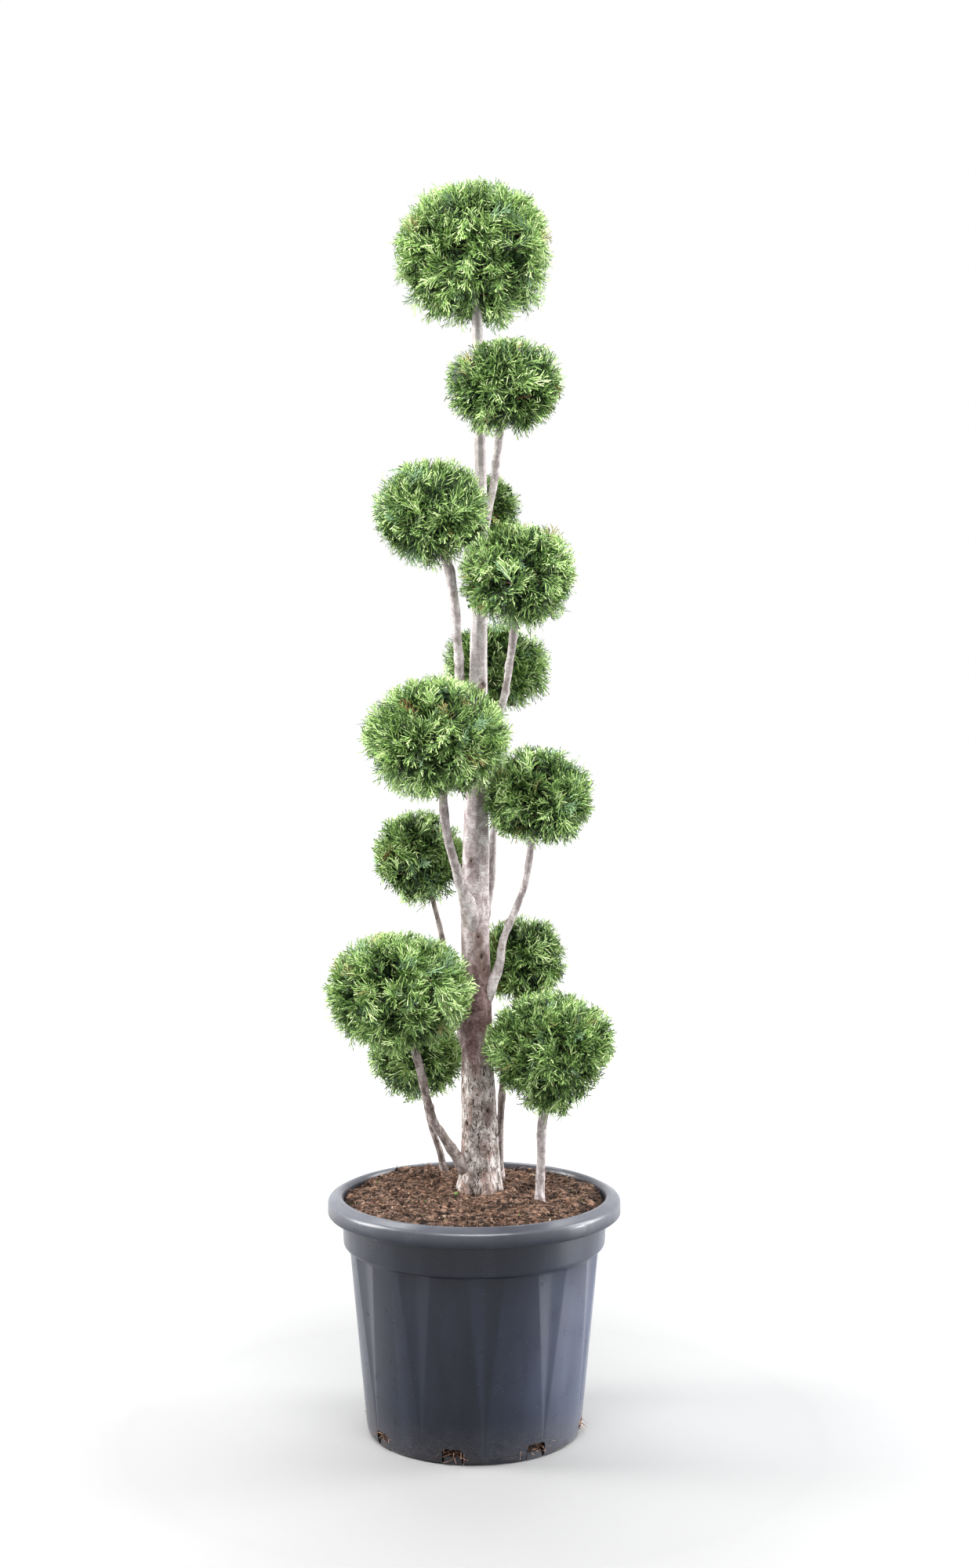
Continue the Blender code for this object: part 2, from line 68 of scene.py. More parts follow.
# Light: each softbox has its place, the point that it faces, its size, watts, spread in degrees and colour
WHITE = (1.0, 1.0, 1.0, 1.0)
ROOM_COLOUR = (0.97, 0.98, 1.0, 1.0)
ROOM_FRONT = 0.68
ROOM_BACK = 1.30
FLOOR_RADIUS = 30.0
FLOOR_SHADE = 0.25
FLOOR_GLOW = 0.90
FLOOR_GLOW_FROM = 0.5
FLOOR_GLOW_TO = 2.4
SOFTBOXES = {
    "left": ((-2.50, 0.10, 1.70), (0, 0, 1.00), (1.1, 2.2), 165, 180, (1.0, 0.99, 0.97)),
    "right": ((2.50, 0.45, 1.50), (0, 0, 0.90), (1.1, 2.2), 120, 180, (0.99, 0.99, 1.0)),
    "above": ((0.1, -1.9, 3.3), (0, 0, 1.1), (2.4, 1.0), 175, 180, (1.0, 1.0, 1.0)),
    "behind": ((0.0, 1.40, 3.20), (0, 0, 0.40), (2.8, 1.2), 120, 180, (0.98, 0.99, 1.0)),
    "low_left": ((-1.60, 0.10, 0.17), (0, 0, 0.15), (0.25, 0.25), 0.6, 11, (0.97, 0.98, 1.0)),
    "low_right": ((1.60, -0.10, 0.17), (0, 0, 0.15), (0.25, 0.25), 2.7, 11, (0.95, 0.97, 1.0)),
}

# Trunk: height, lean to the right, lean to the back, and radius
TRUNK_STATIONS = np.array((
    (0.340, 0.0068, 0.000, 0.0262),
    (0.424, 0.0078, 0.000, 0.0256),
    (0.520, 0.0046, -0.002, 0.0231),
    (0.620, 0.0046, -0.003, 0.0205),
    (0.714, 0.0012, -0.002, 0.0207),
    (0.816, 0.0023, 0.000, 0.0198),
    (0.914, 0.0031, 0.002, 0.0164),
    (1.090, 0.0060, 0.002, 0.0128),
    (1.225, 0.0068, 0.000, 0.0108),
    (1.338, 0.0100, -0.002, 0.0087),
    (1.446, 0.0073, -0.001, 0.0081),
    (1.560, 0.0046, 0.000, 0.0075),
))
# Lengths and depths in the bark's relief are in metres, and collars, waists and tapers are shares of a radius
ROOT_FLARE = 0.0068
ROOT_FLARE_HEIGHT = 0.030
TRUNK_SIDES = 80
FINE_RING = 0.0018
COARSE_RING = 0.0032
ROUGH_TOP = 0.535
ROUGH_FADE = (0.490, 0.560)
TRUNK_BLUR = 0.028
PLATE_DEPTH = 0.0032
WAVE_DEPTH = 0.0011
FOLD_DEPTH = 0.0008
RIPPLE_DEPTH = 0.00018
FOOT_LOBES = 0.0034
FOOT_LOBE_RUN = 0.045
KNOT_RIM = 0.0016
LIMB_SIDES = 20
LIMB_STEP = 0.0028
LIMB_WANDER = 0.0022
LIMB_NODES = 4
NODE_RUN = 0.006
COLLAR = 0.50
COLLAR_RUN = 0.011
STEM_COLLAR = 0.35
STEM_COLLAR_RUN = 0.008
LIMB_WAIST = 0.19
STEM_WAIST = 0.10
INNER_RUN = 0.10
INNER_TAPER = 0.45
# How far from a bough the painted shade in its crotch reaches
CROTCH_SHADE_RUN = 0.0022
CROTCH_FROM = 0.030
CROTCH_TO = 0.065
SWELL_RUN = 0.012
ROUTE_STEP = 0.015
JUNCTION_STEP = 0.004
ROUTE_TOP = 1.60

# Balls: centre, half width, height above and below the centre, and how square each half is
BALLS = {
    "ball_01": ((-0.001, 0.000, 1.704), 0.1134, 0.0950, 0.1160, 2.6, 2.3),
    "ball_02": ((0.043, -0.055, 1.500), 0.0866, 0.0670, 0.0735, 2.2, 2.1),
    "ball_03": ((-0.062, -0.045, 1.321), 0.0850, 0.0775, 0.0800, 2.2, 2.1),
    "ball_04": ((0.008, 0.092, 1.333), 0.0640, 0.0585, 0.0580, 2.1, 2.1),
    "ball_05": ((0.062, -0.085, 1.228), 0.0846, 0.0770, 0.0760, 2.2, 2.2),
    "ball_06": ((0.031, 0.092, 1.100), 0.0840, 0.0640, 0.0710, 2.2, 2.1),
    "ball_07": ((-0.052, -0.100, 1.001), 0.1055, 0.0875, 0.0885, 2.2, 2.1),
    "ball_08": ((0.091, -0.042, 0.914), 0.0812, 0.0740, 0.0750, 2.2, 2.1),
    "ball_09": ((-0.081, 0.070, 0.820), 0.0707, 0.0710, 0.0730, 2.1, 2.1),
    "ball_10": ((-0.106, -0.080, 0.640), 0.1080, 0.0870, 0.0860, 2.2, 1.8),
    "ball_11": ((-0.086, 0.110, 0.521), 0.0740, 0.0700, 0.0705, 2.1, 2.1),
    "ball_12": ((0.071, 0.110, 0.661), 0.0665, 0.0665, 0.0660, 2.4, 2.1),
    "ball_13": ((0.107, -0.060, 0.560), 0.0955, 0.0800, 0.1120, 2.2, 1.3),
}
LUMPS = 0.035
BALL_ENTRY = 0.985

# Limbs, each with its radius at foot and tip. It starts at a height on the trunk, or at a place in the soil,
# goes by its bends, and ends at the ball of its own number
LIMBS = {
    "bough_02": (1.272, 0.0076, 0.0056, (
        (0.0193, -0.012, 1.323), (0.0250, -0.020, 1.350), (0.0327, -0.035, 1.401),
    )),
    "bough_03": (0.915, 0.0095, 0.0068, (
        (-0.0123, -0.004, 1.008), (-0.0212, -0.006, 1.075), (-0.0250, -0.020, 1.160),
        (-0.0340, -0.034, 1.230),
    )),
    "bough_04": (1.195, 0.0070, 0.0047, ((0.0095, 0.022, 1.236), (0.0100, 0.044, 1.258))),
    "bough_05": (0.950, 0.0085, 0.0057, (
        (0.0304, -0.030, 1.022), (0.0426, -0.046, 1.052), (0.0492, -0.060, 1.091), (0.0535, -0.070, 1.127),
    )),
    "bough_06": (0.690, 0.0082, 0.0052, (
        (0.0250, 0.032, 0.793), (0.0268, 0.044, 0.850), (0.0350, 0.075, 0.984),
    )),
    "bough_07": (0.715, 0.0125, 0.0060, (
        (-0.0120, -0.028, 0.768), (-0.0222, -0.040, 0.795), (-0.0400, -0.073, 0.871),
    )),
    "bough_08": (0.598, 0.0090, 0.0048, (
        (0.0330, -0.012, 0.662), (0.0418, -0.020, 0.706), (0.0690, -0.030, 0.777), (0.0775, -0.036, 0.822),
    )),
    "bough_09": (0.505, 0.0088, 0.0036, (
        (-0.0210, 0.032, 0.573), (-0.0313, 0.046, 0.617), (-0.0490, 0.062, 0.707),
    )),
    "bough_10": (0.352, 0.0100, 0.0062, (
        (-0.0290, -0.026, 0.402), (-0.0480, -0.036, 0.434), (-0.0601, -0.045, 0.455),
        (-0.0765, -0.062, 0.530),
    )),
    "stem_11": ((-0.044, 0.100), 0.0060, 0.0048, ((-0.0532, 0.100, 0.380), (-0.0640, 0.104, 0.412))),
    "stem_12": ((0.038, 0.062), 0.0062, 0.0050, (
        (0.0380, 0.064, 0.395), (0.0395, 0.069, 0.463), (0.0556, 0.093, 0.563),
    )),
    "stem_13": ((0.0935, -0.044), 0.0070, 0.0068, ((0.0940, -0.046, 0.374), (0.0955, -0.051, 0.425))),
}

# Knots: height, turn from the front to the right in degrees, radius, and depth of the hollow
TRUNK_KNOTS = (
    (0.711, 13, 0.0060, 0.0024),
    (0.684, 26, 0.0072, 0.0026),
    (0.664, 34, 0.0045, 0.0016),
    (0.742, -52, 0.0042, 0.0012),
    (0.820, -18, 0.0040, 0.0010),
    (0.461, 31, 0.0062, 0.0030),
    (0.441, -42, 0.0050, 0.0026),
    (1.075, 28, 0.0050, 0.0014),
    (0.600, -120, 0.0065, 0.0020),
    (0.770, 165, 0.0060, 0.0020),
    (0.980, -150, 0.0050, 0.0016),
    (1.250, 110, 0.0040, 0.0012),
)
LIMB_KNOTS = {
    "bough_05": ((1.100, -70, 0.0040, 0.0004), (1.062, 60, 0.0034, 0.0004)),
    "bough_03": ((1.120, 150, 0.0040, 0.0005),),
    "bough_07": ((0.812, 100, 0.0042, 0.0005),),
    "bough_08": ((0.735, -60, 0.0036, 0.0005),),
    "bough_10": ((0.470, 40, 0.0045, 0.0006),),
}

# Foliage: tufts of forked sprays that fan out from the twigs' ends, in two layers. Density is in tufts per
# square metre. Reach and limit are shares of the ball's outline, for where tufts end and are clipped
OUTER_LAYER = {"density": 2500, "length": 0.050, "reach": (0.93, 1.035), "limit": 1.0, "half_width": 0.00082}
# The inner layer is painted shade: broad sprays inside each ball, dealt only the two darkest greens
INNER_SHADE_LAYER = {"density": 480, "length": 0.048, "reach": (0.64, 0.80), "limit": 0.90, "half_width": 0.0022}
SPRAYS_PER_TUFT = 4
TUFT_LEAN = (math.radians(30), math.radians(14))
TUFT_LIFT = 0.22
TUFT_DROOP = 0.22
TUFT_PATCH = 0.45
TUFT_LOOSENESS = 0.45
TUFT_FAN = 0.36
SPRAY_LENGTH = (0.034, 0.055)
SPRAY_KINDS = 16
SPRAY_SEED = 5
SHOOT_ROLL = math.radians(14)
AXIS_PIECES = 3
SIDE_SHOOTS = 8
SIDE_TURN = (22, 36)
SIDE_TILT = 9
FORK_TURN = (22, 38)
FORK_TILT = 8
FORK_LENGTH = (0.45, 0.62)
OUTLINE_SPREAD = 0.020
SHOOT_SPREAD = 0.020
SHORTEST_CUT = 0.28
STRAGGLERS = 0.030
STRAGGLE = 0.110
POCKET_SIZE = 0.17
POCKET_DEPTH = 0.27
UNDERSIDE = 0.10
TIGHT_UNDERSIDES = {"ball_13": 0.03}
LIMB_ROOM = 0.0012

# Shades of green, in steps along LEAF_GREENS: the tufts' middle and spread, the spread of sprays and shoots,
# and what the top of a ball, a shoot's age, its depth in the ball and the ball itself add
TUFT_TONE = (3.20, 0.20)
SPRAY_TONE = 0.45
SHOOT_TONE = 1.50
# Painted light: tufts high on a ball are dealt lighter greens
TOP_LIGHT_TONE = 0.35
AGE_TONES = np.array((-1.2, 0.0, 1.1))
# Painted shade: shoots deep in a ball are darker, and those at its outline a little lighter
DEPTH_SHADE_TONES = (-3.2, 0.35)
# Painted light: the back balls, which the front ones shade, are dealt lighter greens
BACK_BALL_LIGHT = {"ball_04": 0.9, "ball_06": 0.4, "ball_09": 0.6, "ball_11": 0.4, "ball_12": 0.5}

# Where the foliage parts in front of a limb: half width, and height above the outline's foot
PARTINGS = {"ball_01": (0.012, 0.036), "ball_02": (0.007, 0.010)}

# Twigs inside a ball: how many of each order, how far out they reach, and their radii
MAIN_TWIGS = 10
MAIN_REACH = 0.42
MAIN_RADII = (0.0024, 0.0019, 0.0014)
SIDE_TWIGS_PER_AREA = 600
SIDE_REACH = 0.66
SIDE_RADII = (0.0013, 0.0009)
END_RADII = (0.0011, 0.00077)

# Pot
POT_HEIGHT = 0.340
RIM_RADIUS = 0.2112
RIM_DEPTH = 0.028
BAND_RADIUS = 0.1885
BAND_FOOT = 0.270
BODY_TOP_RADIUS = 0.1795
BODY_FOOT_RADIUS = 0.1550
WALL = 0.0025
FLOOR = 0.0030
FLUTES = 11
FLUTE_TURN = math.radians(5.2)
FLUTE_HALF_ANGLE = math.radians(8.2)
FLUTE_FOOT = 0.018
FLUTE_DIP = 0.0030
NOTCHES = 8
NOTCH_WIDTH = 0.030
NOTCH_HEIGHT = 0.023
NOTCH_INNER_RADIUS = 0.134
NOTCH_CORNER = 0.006
NOTCH_TURN = math.radians(-11)
TAB_RADIUS = 0.1508
TAB_HEIGHT = 0.0112
TAB_GAP = 0.0024
TAB_COLUMNS = 7
TAB_WALL = 0.0015
CORNER_EASE = 0.0030
POT_ROW_HEIGHT = 0.030
SHARP_ANGLE = math.radians(40)

# Soil
SOIL_EDGE_HEIGHT = 0.3315
SOIL_MOUND = 0.013
SOIL_HEAP = 0.009
SOIL_HEAP_AT = (-0.085, 0.105)
SOIL_HEAP_SPREAD = 0.055
SOIL_ROUGHNESS = 0.0012
SOIL_EDGE = 0.1862
SOIL_INSET = 0.007
SOIL_RINGS = 74
SOIL_COLUMNS = 320
CLOD_SIZE = 0.017
CLOD_DEPTH = 0.0026
LUMP_SIZE = 0.0075
LUMP_DEPTH = 0.0018
CRACK_DEPTH = 0.0016
WALL_GAP_DEPTH = 0.0075
PEAT_SETBACK = 0.0068
PEAT_FLARE = 0.0185
PEAT_ROWS = (0.06, 0.03, 0.024, 0.018, 0.013)
# Painted shade on the peat's sides, as their value of relief_shade
SIDE_SHADE = 0.28
FOOT_DEPTH = 0.0035
CRUMBS = 2800
CRUMB_SIZE = 0.0007
CRUMB_SIZE_SPREAD = 0.0030
CRUMB_SEED = 711
CHIPS = 70
CHIP_SIZE = (0.0008, 0.0026)
CHIP_SHARES = (0.50, 0.38, 0.12)
FIBRES = 1700
FIBRE_LENGTH = 0.004
FIBRE_LENGTH_SPREAD = 0.020
FIBRE_RADIUS = (0.00018, 0.00050)
FIBRE_SHARES = (0.05, 0.20, 0.30, 0.30, 0.15)
FIBRE_SEED = 733
ROOTS_PER_NOTCH = 16
ROOT_RADIUS = (0.0003, 0.0007)
ROOT_REACH = 0.0060
ROOT_HANG = 0.012

FRONT = np.array((0.0, -1.0, 0.0))
UP = np.array((0.0, 0.0, 1.0))
GOLDEN_TURN = math.pi * (3 - math.sqrt(5))

# Plain colours, linear. The greens run from the darkest, the painted shade deep in a ball, to the freshest
# tip
LEAF_GREENS = (
    (0.010, 0.022, 0.008),
    (0.028, 0.062, 0.017),
    (0.068, 0.136, 0.030),
    (0.134, 0.250, 0.058),
    (0.248, 0.395, 0.106),
    (0.385, 0.545, 0.190),
    (0.545, 0.660, 0.330),
)
# Other leaves: colour, roughness, gloss, and the range of a draw from 0 to 1 that gives a spray this colour
ODD_LEAVES = {
    "leaf_bluish": ((0.190, 0.310, 0.170), 0.60, 0.30, (0.0, 0.04)),
    "leaf_straw": ((0.300, 0.260, 0.100), 0.70, 0.25, (0.970, 0.980)),
    "leaf_rust": ((0.300, 0.150, 0.070), 0.75, 0.20, (0.9985, 1.0)),
}
PEAT_BROWNS = (
    (0.020, 0.012, 0.009),
    (0.062, 0.035, 0.024),
    (0.135, 0.078, 0.053),
    (0.235, 0.142, 0.100),
    (0.350, 0.235, 0.160),
)
CHIP_PALE = (0.42, 0.35, 0.26)
CHIP_GREEN = (0.12, 0.24, 0.05)
TWIG_BROWN = (0.165, 0.085, 0.050)
PALE_BARK = ((0.200, 0.165, 0.160), (0.370, 0.325, 0.320), (0.540, 0.500, 0.495))
BROWN_BARK = ((0.095, 0.070, 0.062), (0.215, 0.172, 0.158), (0.400, 0.345, 0.322))
BROWN_LIMBS = ("bough_09", "bough_10", "stem_11", "stem_12")


# Numbers and arrays

def unit(vectors):
    return vectors / np.linalg.norm(vectors, axis=-1, keepdims=True)


def smoothstep(low, high, values):
    share = np.clip((values - low) / (high - low), 0.0, 1.0)
    return share * share * (3 - 2 * share)


def bell(values, width):
    """1 where the value is zero, falling away on both sides."""
    return np.exp(-(values / width) ** 2)


def level_ways(turns):
    """Level directions, each at its turn from the front to the right."""
    return np.stack((np.sin(turns), -np.cos(turns), np.zeros_like(turns)), -1)


def ring_ways(across, beside, sides):
    """Directions all the way round in the plane of two others."""
    turn = np.arange(sides) * math.tau / sides
    return np.cos(turn)[:, None] * across[:, None] + np.sin(turn)[:, None] * beside[:, None]


def seed_of(name):
    return int(name[-2:]) * 101


def noise_field(points, cell, seed):
    """Smooth noise, about -1 to 1, at each point, with its cell size along each axis."""
    places = points.reshape(-1, 3) / np.asarray(cell) + 17.3 * seed
    values = [noise.noise(Vector(place)) for place in places]
    return np.array(values).reshape(points.shape[:-1])


def crack_field(points, cell, width, seed):
    """0 in the cracks between cells of peat, rising to 1 on the cells."""
    places = points.reshape(-1, 3) / np.asarray(cell) + 9.1 * seed
    two_nearest = np.array([noise.voronoi(Vector(place))[0][:2] for place in places])
    return smoothstep(0.0, width, two_nearest[:, 1] - two_nearest[:, 0]).reshape(points.shape[:-1])


# Meshes

def add_object(name, data):
    made = bpy.data.objects.new(name, data)
    bpy.context.scene.collection.objects.link(made)
    return made


def add_piece(name, points, faces, materials, slot, replaces=(), slots=None, smooth=True):
    """A mesh object from arrays of points and triangles, riding on the plant's body."""
    mesh = bpy.data.meshes.new(name)
    mesh.vertices.add(len(points))
    mesh.vertices.foreach_set("co", points.astype(np.float32).ravel())
    mesh.loops.add(faces.size)
    mesh.loops.foreach_set("vertex_index", faces.astype(np.int32).ravel())
    mesh.polygons.add(len(faces))
    mesh.polygons.foreach_set("loop_start", np.arange(0, faces.size, 3, dtype=np.int32))
    mesh.update(calc_edges=True)
    for material in materials:
        mesh.materials.append(material)
    if slots is not None:
        mesh.polygons.foreach_set("material_index", slots.astype(np.int32))
    if smooth:
        mesh.shade_smooth()
    else:
        mesh.shade_flat()
    piece = add_object(name, mesh)
    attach(piece, BODY)
    if replaces:
        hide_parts(*replaces)
    return piece


def add_values(piece, name, values, at_caps):
    """Keeps one number per vertex on the mesh, and one at the two caps, for its material to read."""
    attribute = piece.data.attributes.new(name, "FLOAT", "POINT")
    attribute.data.foreach_set("value", np.append(values, (at_caps, at_caps)).astype(np.float32))


def steps_round(sides):
    """The numbers of a ring's points, and of the point after each."""
    a = np.arange(sides)
    return a, (a + 1) % sides


def capped_grid(rings):
    """One closed surface from rings of points, with a fan over the first ring and the last."""
    count, sides, _ = rings.shape
    a, b = steps_round(sides)
    start = (np.arange(count - 1) * sides)[:, None]
    low_a, low_b, high_a, high_b = start + a, start + b, start + a + sides, start + b + sides
    walls = [np.stack((low_a, low_b, high_b), -1), np.stack((low_a, high_b, high_a), -1)]
    middle = np.full(sides, count * sides)
    last = (count - 1) * sides
    caps = [np.stack((middle, b, a), -1), np.stack((middle + 1, last + a, last + b), -1)]
    ends = np.stack((rings[0].mean(axis=0), rings[-1].mean(axis=0)))
    faces = np.concatenate([part.reshape(-1, 3) for part in walls + caps])
    return np.concatenate((rings.reshape(-1, 3), ends)), faces


def prisms(starts, ends, start_radii, end_radii, sides):
    """Open tapering prisms from start to end, many at once."""
    run = unit(ends - starts)
    across = unit(np.cross(run, np.where(np.abs(run[:, 2:3]) < 0.8, UP, FRONT)))
    ways = ring_ways(across, np.cross(run, across), sides)
    rings = [
        places[:, None] + np.broadcast_to(radii, len(places))[:, None, None] * ways
        for places, radii in ((starts, start_radii), (ends, end_radii))
    ]
    a, b = steps_round(sides)
    one = np.concatenate((np.stack((a, b, b + sides), -1), np.stack((a, b + sides, a + sides), -1)))
    faces = one[None] + (np.arange(len(starts)) * 2 * sides)[:, None, None]
    return np.concatenate(rings, axis=1).reshape(-1, 3), faces.reshape(-1, 3)


def merged(parts):
    """Arrays of points and faces from several parts as one pair."""
    points, faces = zip(*parts)
    firsts = np.cumsum([0, *(len(part) for part in points)])
    return np.concatenate(points), np.concatenate([part + first for part, first in zip(faces, firsts)])


# Materials

class Nodes:
    """A node tree that grows by one node with each call."""

    def __init__(self, tree):
        self.tree = tree

    def feed(self, socket, value):
        """Links the socket to another one, or sets its own value."""
        if isinstance(value, bpy.types.NodeSocket):
            self.tree.links.new(value, socket)
        else:
            socket.default_value = value

    def node(self, kind, inputs=(), **settings):
        made = self.tree.nodes.new("ShaderNode" + kind)
        for setting, value in settings.items():
            setattr(made, setting, value)
        for socket, value in dict(inputs).items():
            self.feed(made.inputs[socket], value)
        return made

    def fade(self, value, low, high, to_low=0.0, to_high=1.0):
        """A value carried from one range over to another, and held at both ends."""
        made = self.node("MapRange", {
            "Value": value, "From Min": low, "From Max": high, "To Min": to_low, "To Max": to_high,
        })
        return made.outputs["Result"]


class Shader(Nodes):
    """A Principled material."""

    def __init__(self, name, **sockets):
        self.material = bpy.data.materials.new(name)
        self.material.use_nodes = True
        super().__init__(self.material.node_tree)
        self.surface = self.tree.nodes["Principled BSDF"].inputs
        for socket, value in sockets.items():
            self.surface[socket.replace("_", " ")].default_value = value

    def place(self, stretch=None):
        """The object's coordinates, scaled along each axis if stretch says so."""
        places = self.node("TexCoord").outputs["Object"]
        if stretch is None:
            return places
        return self.node("Mapping", {"Vector": places, "Scale": stretch}).outputs["Vector"]

    def noise(self, scale, detail=4.0, roughness=0.55, stretch=None, distortion=0.0):
        made = self.node("TexNoise", {
            "Vector": self.place(stretch), "Scale": scale, "Detail": detail, "Roughness": roughness,
            "Distortion": distortion,
        })
        return made.outputs["Fac"]

    def cells(self, scale):
        return self.node("TexVoronoi", {"Vector": self.place(), "Scale": scale}).outputs["Distance"]

    def value_of(self, attribute):
        return self.node("Attribute", attribute_name=attribute).outputs["Fac"]

    def height(self):
        return self.node("SeparateXYZ", {"Vector": self.place()}).outputs["Z"]

    def ramp(self, factor, *stops):
        """A colour ramp; each stop is a place and a grey or a colour."""
        made = self.node("ValToRGB", {"Fac": factor})
        elements = made.color_ramp.elements
        while len(elements) < len(stops):
            elements.new(0.5)
        for element, (place, colour) in zip(elements, stops):
            element.position = place
            element.color = (*colour, 1.0) if isinstance(colour, tuple) else (colour, colour, colour, 1.0)
        return made.outputs["Color"]

    def mix(self, factor, one, other, blend="MIX"):
        made = self.node("Mix", {"Factor": factor}, data_type="RGBA", blend_type=blend)
        colour_sockets = [socket for socket in made.inputs if socket.type == "RGBA"]
        for socket, value in zip(colour_sockets, (one, other)):
            self.feed(socket, (*value, 1.0) if isinstance(value, tuple) else value)
        return next(socket for socket in made.outputs if socket.type == "RGBA")

    def over(self, base, colour, field, *stops):
        """The base with a colour over it, as thick as a ramp of the field says."""
        return self.mix(self.ramp(field, *stops), base, colour)

    def shade(self, base, amount, field, *stops):
        """The base darkened by a ramp of the field."""
        return self.mix(amount, base, self.ramp(field, *stops), blend="MULTIPLY")

    def maths(self, operation, *values):
        return self.node("Math", enumerate(values), operation=operation).outputs["Value"]

    def finish(self, colour, roughness, *bumps):
        """Roughness is a field and its two ends. A bump is a height, its depth in metres and its strength."""
        self.feed(self.surface["Base Color"], colour)
        field, low, high = roughness
        self.feed(self.surface["Roughness"], self.fade(field, 0.0, 1.0, low, high))
        inputs = {}
        for height, depth, strength in bumps:
            inputs.update({"Height": height, "Distance": depth, "Strength": strength})
            inputs["Normal"] = self.node("Bump", inputs).outputs["Normal"]
        self.feed(self.surface["Normal"], inputs["Normal"])
        return self.material


def plain_material(name, colour, roughness, specular):
    return Shader(name, Base_Color=(*colour, 1.0), Roughness=roughness, Specular_IOR_Level=specular).material


def trunk_material():
    """Flaky grey-cream plates at the foot, smooth purple-brown above them, and pale pink-grey higher up."""
    bark = Shader("trunk_bark", Specular_IOR_Level=0.25)
    # relief_shade darkens fissures, partly their own colour and partly painted shade, knots and crotches
    relief_shade = bark.value_of("relief_shade")
    mottle = bark.noise(36, detail=6, stretch=(1, 1, 0.55))
    clouds = bark.noise(70, detail=7, roughness=0.70, stretch=(1, 1, 0.8), distortion=0.4)
    specks = bark.noise(300, roughness=0.7)
    lines = bark.noise(95, roughness=0.6, stretch=(1, 1, 4.5), distortion=0.5)
    grain = bark.noise(420, detail=5, roughness=0.7)
    fissures = bark.noise(150, roughness=0.62, stretch=(1, 1, 0.28), distortion=0.8)
    fissures = bark.ramp(fissures, (0.445, 0.0), (0.480, 1.0), (0.510, 1.0), (0.540, 0.0))
    broken = bark.ramp(bark.noise(130, detail=3, stretch=(1, 1, 0.6)), (0.44, 0.0), (0.51, 1.0))

    plates = bark.ramp(
        clouds, (0.38, (0.170, 0.132, 0.118)), (0.50, (0.350, 0.305, 0.280)), (0.60, (0.610, 0.570, 0.540)),
    )
    plates = bark.over(plates, (0.250, 0.145, 0.115), mottle, (0.47, 0.0), (0.60, 0.70))
    plates = bark.over(plates, (0.130, 0.090, 0.076), specks, (0.53, 0.0), (0.62, 0.65))
    plates = bark.mix(bark.maths("MULTIPLY", fissures, broken), plates, (0.034, 0.022, 0.018))
    plates = bark.over(plates, (0.034, 0.021, 0.017), relief_shade, (0.28, 1.0), (0.56, 0.0))
    smooth = bark.ramp(
        clouds, (0.38, (0.042, 0.021, 0.020)), (0.50, (0.108, 0.061, 0.056)), (0.62, (0.215, 0.148, 0.146)),
    )
    smooth = bark.over(smooth, (0.250, 0.180, 0.172), specks, (0.52, 0.0), (0.64, 0.6))
    smooth = bark.over(smooth, (0.050, 0.030, 0.028), lines, (0.57, 0.0), (0.66, 0.5))
    pale = bark.ramp(
        clouds, (0.38, (0.225, 0.175, 0.175)), (0.49, (0.375, 0.325, 0.322)), (0.58, (0.570, 0.530, 0.525)),
    )
    pale = bark.over(pale, (0.280, 0.220, 0.215), specks, (0.53, 0.0), (0.64, 0.45))
    pale = bark.over(pale, (0.200, 0.145, 0.140), lines, (0.55, 0.0), (0.63, 0.60))

    level = bark.maths("ADD", bark.height(), bark.maths("MULTIPLY_ADD", mottle, 0.14, -0.07))
    pale = bark.mix(bark.fade(level, 0.85, 1.15, to_high=0.40), pale, (0.550, 0.515, 0.510))
    colour = bark.mix(bark.fade(level, 0.505, 0.560), plates, smooth)
    colour = bark.mix(bark.fade(level, 0.640, 0.760), colour, pale)
    colour = bark.over(colour, (0.130, 0.085, 0.072), bark.value_of("stain"), (0.10, 0.0), (0.80, 0.85))
    colour = bark.shade(colour, 1.0, relief_shade, (0.02, 0.06), (0.26, 1.0))
    colour = bark.shade(colour, 0.40, grain, (0.38, 0.25), (0.58, 1.0))
    return bark.finish(colour, (grain, 0.62, 0.92), (lines, 0.0005, 0.4), (grain, 0.0007, 0.6))


def limb_material(name, dark, middle, light):
    """Smooth young bark, mottled, with small darker marks across it."""
    bark = Shader(name, Specular_IOR_Level=0.25)
    clouds = bark.noise(80, detail=6, roughness=0.68, stretch=(1, 1, 0.6), distortion=0.3)
    grain = bark.noise(560, roughness=0.7)
    marks = bark.noise(150, stretch=(1, 1, 2.6), distortion=0.5)
    base = bark.ramp(clouds, (0.40, dark), (0.50, middle), (0.60, light))
    base = bark.over(base, dark, marks, (0.56, 0.0), (0.64, 0.60))
    base = bark.over(base, dark, bark.noise(300, roughness=0.7), (0.53, 0.0), (0.62, 0.60))
    # relief_shade darkens the knots and, as painted shade, the crotch at a bough's foot
    base = bark.shade(base, 1.0, bark.value_of("relief_shade"), (0.06, 0.15), (0.36, 1.0))
    base = bark.shade(base, 0.30, grain, (0.38, 0.30), (0.60, 1.0))
    return bark.finish(base, (grain, 0.60, 0.88), (clouds, 0.0006, 0.4), (grain, 0.0005, 0.6))


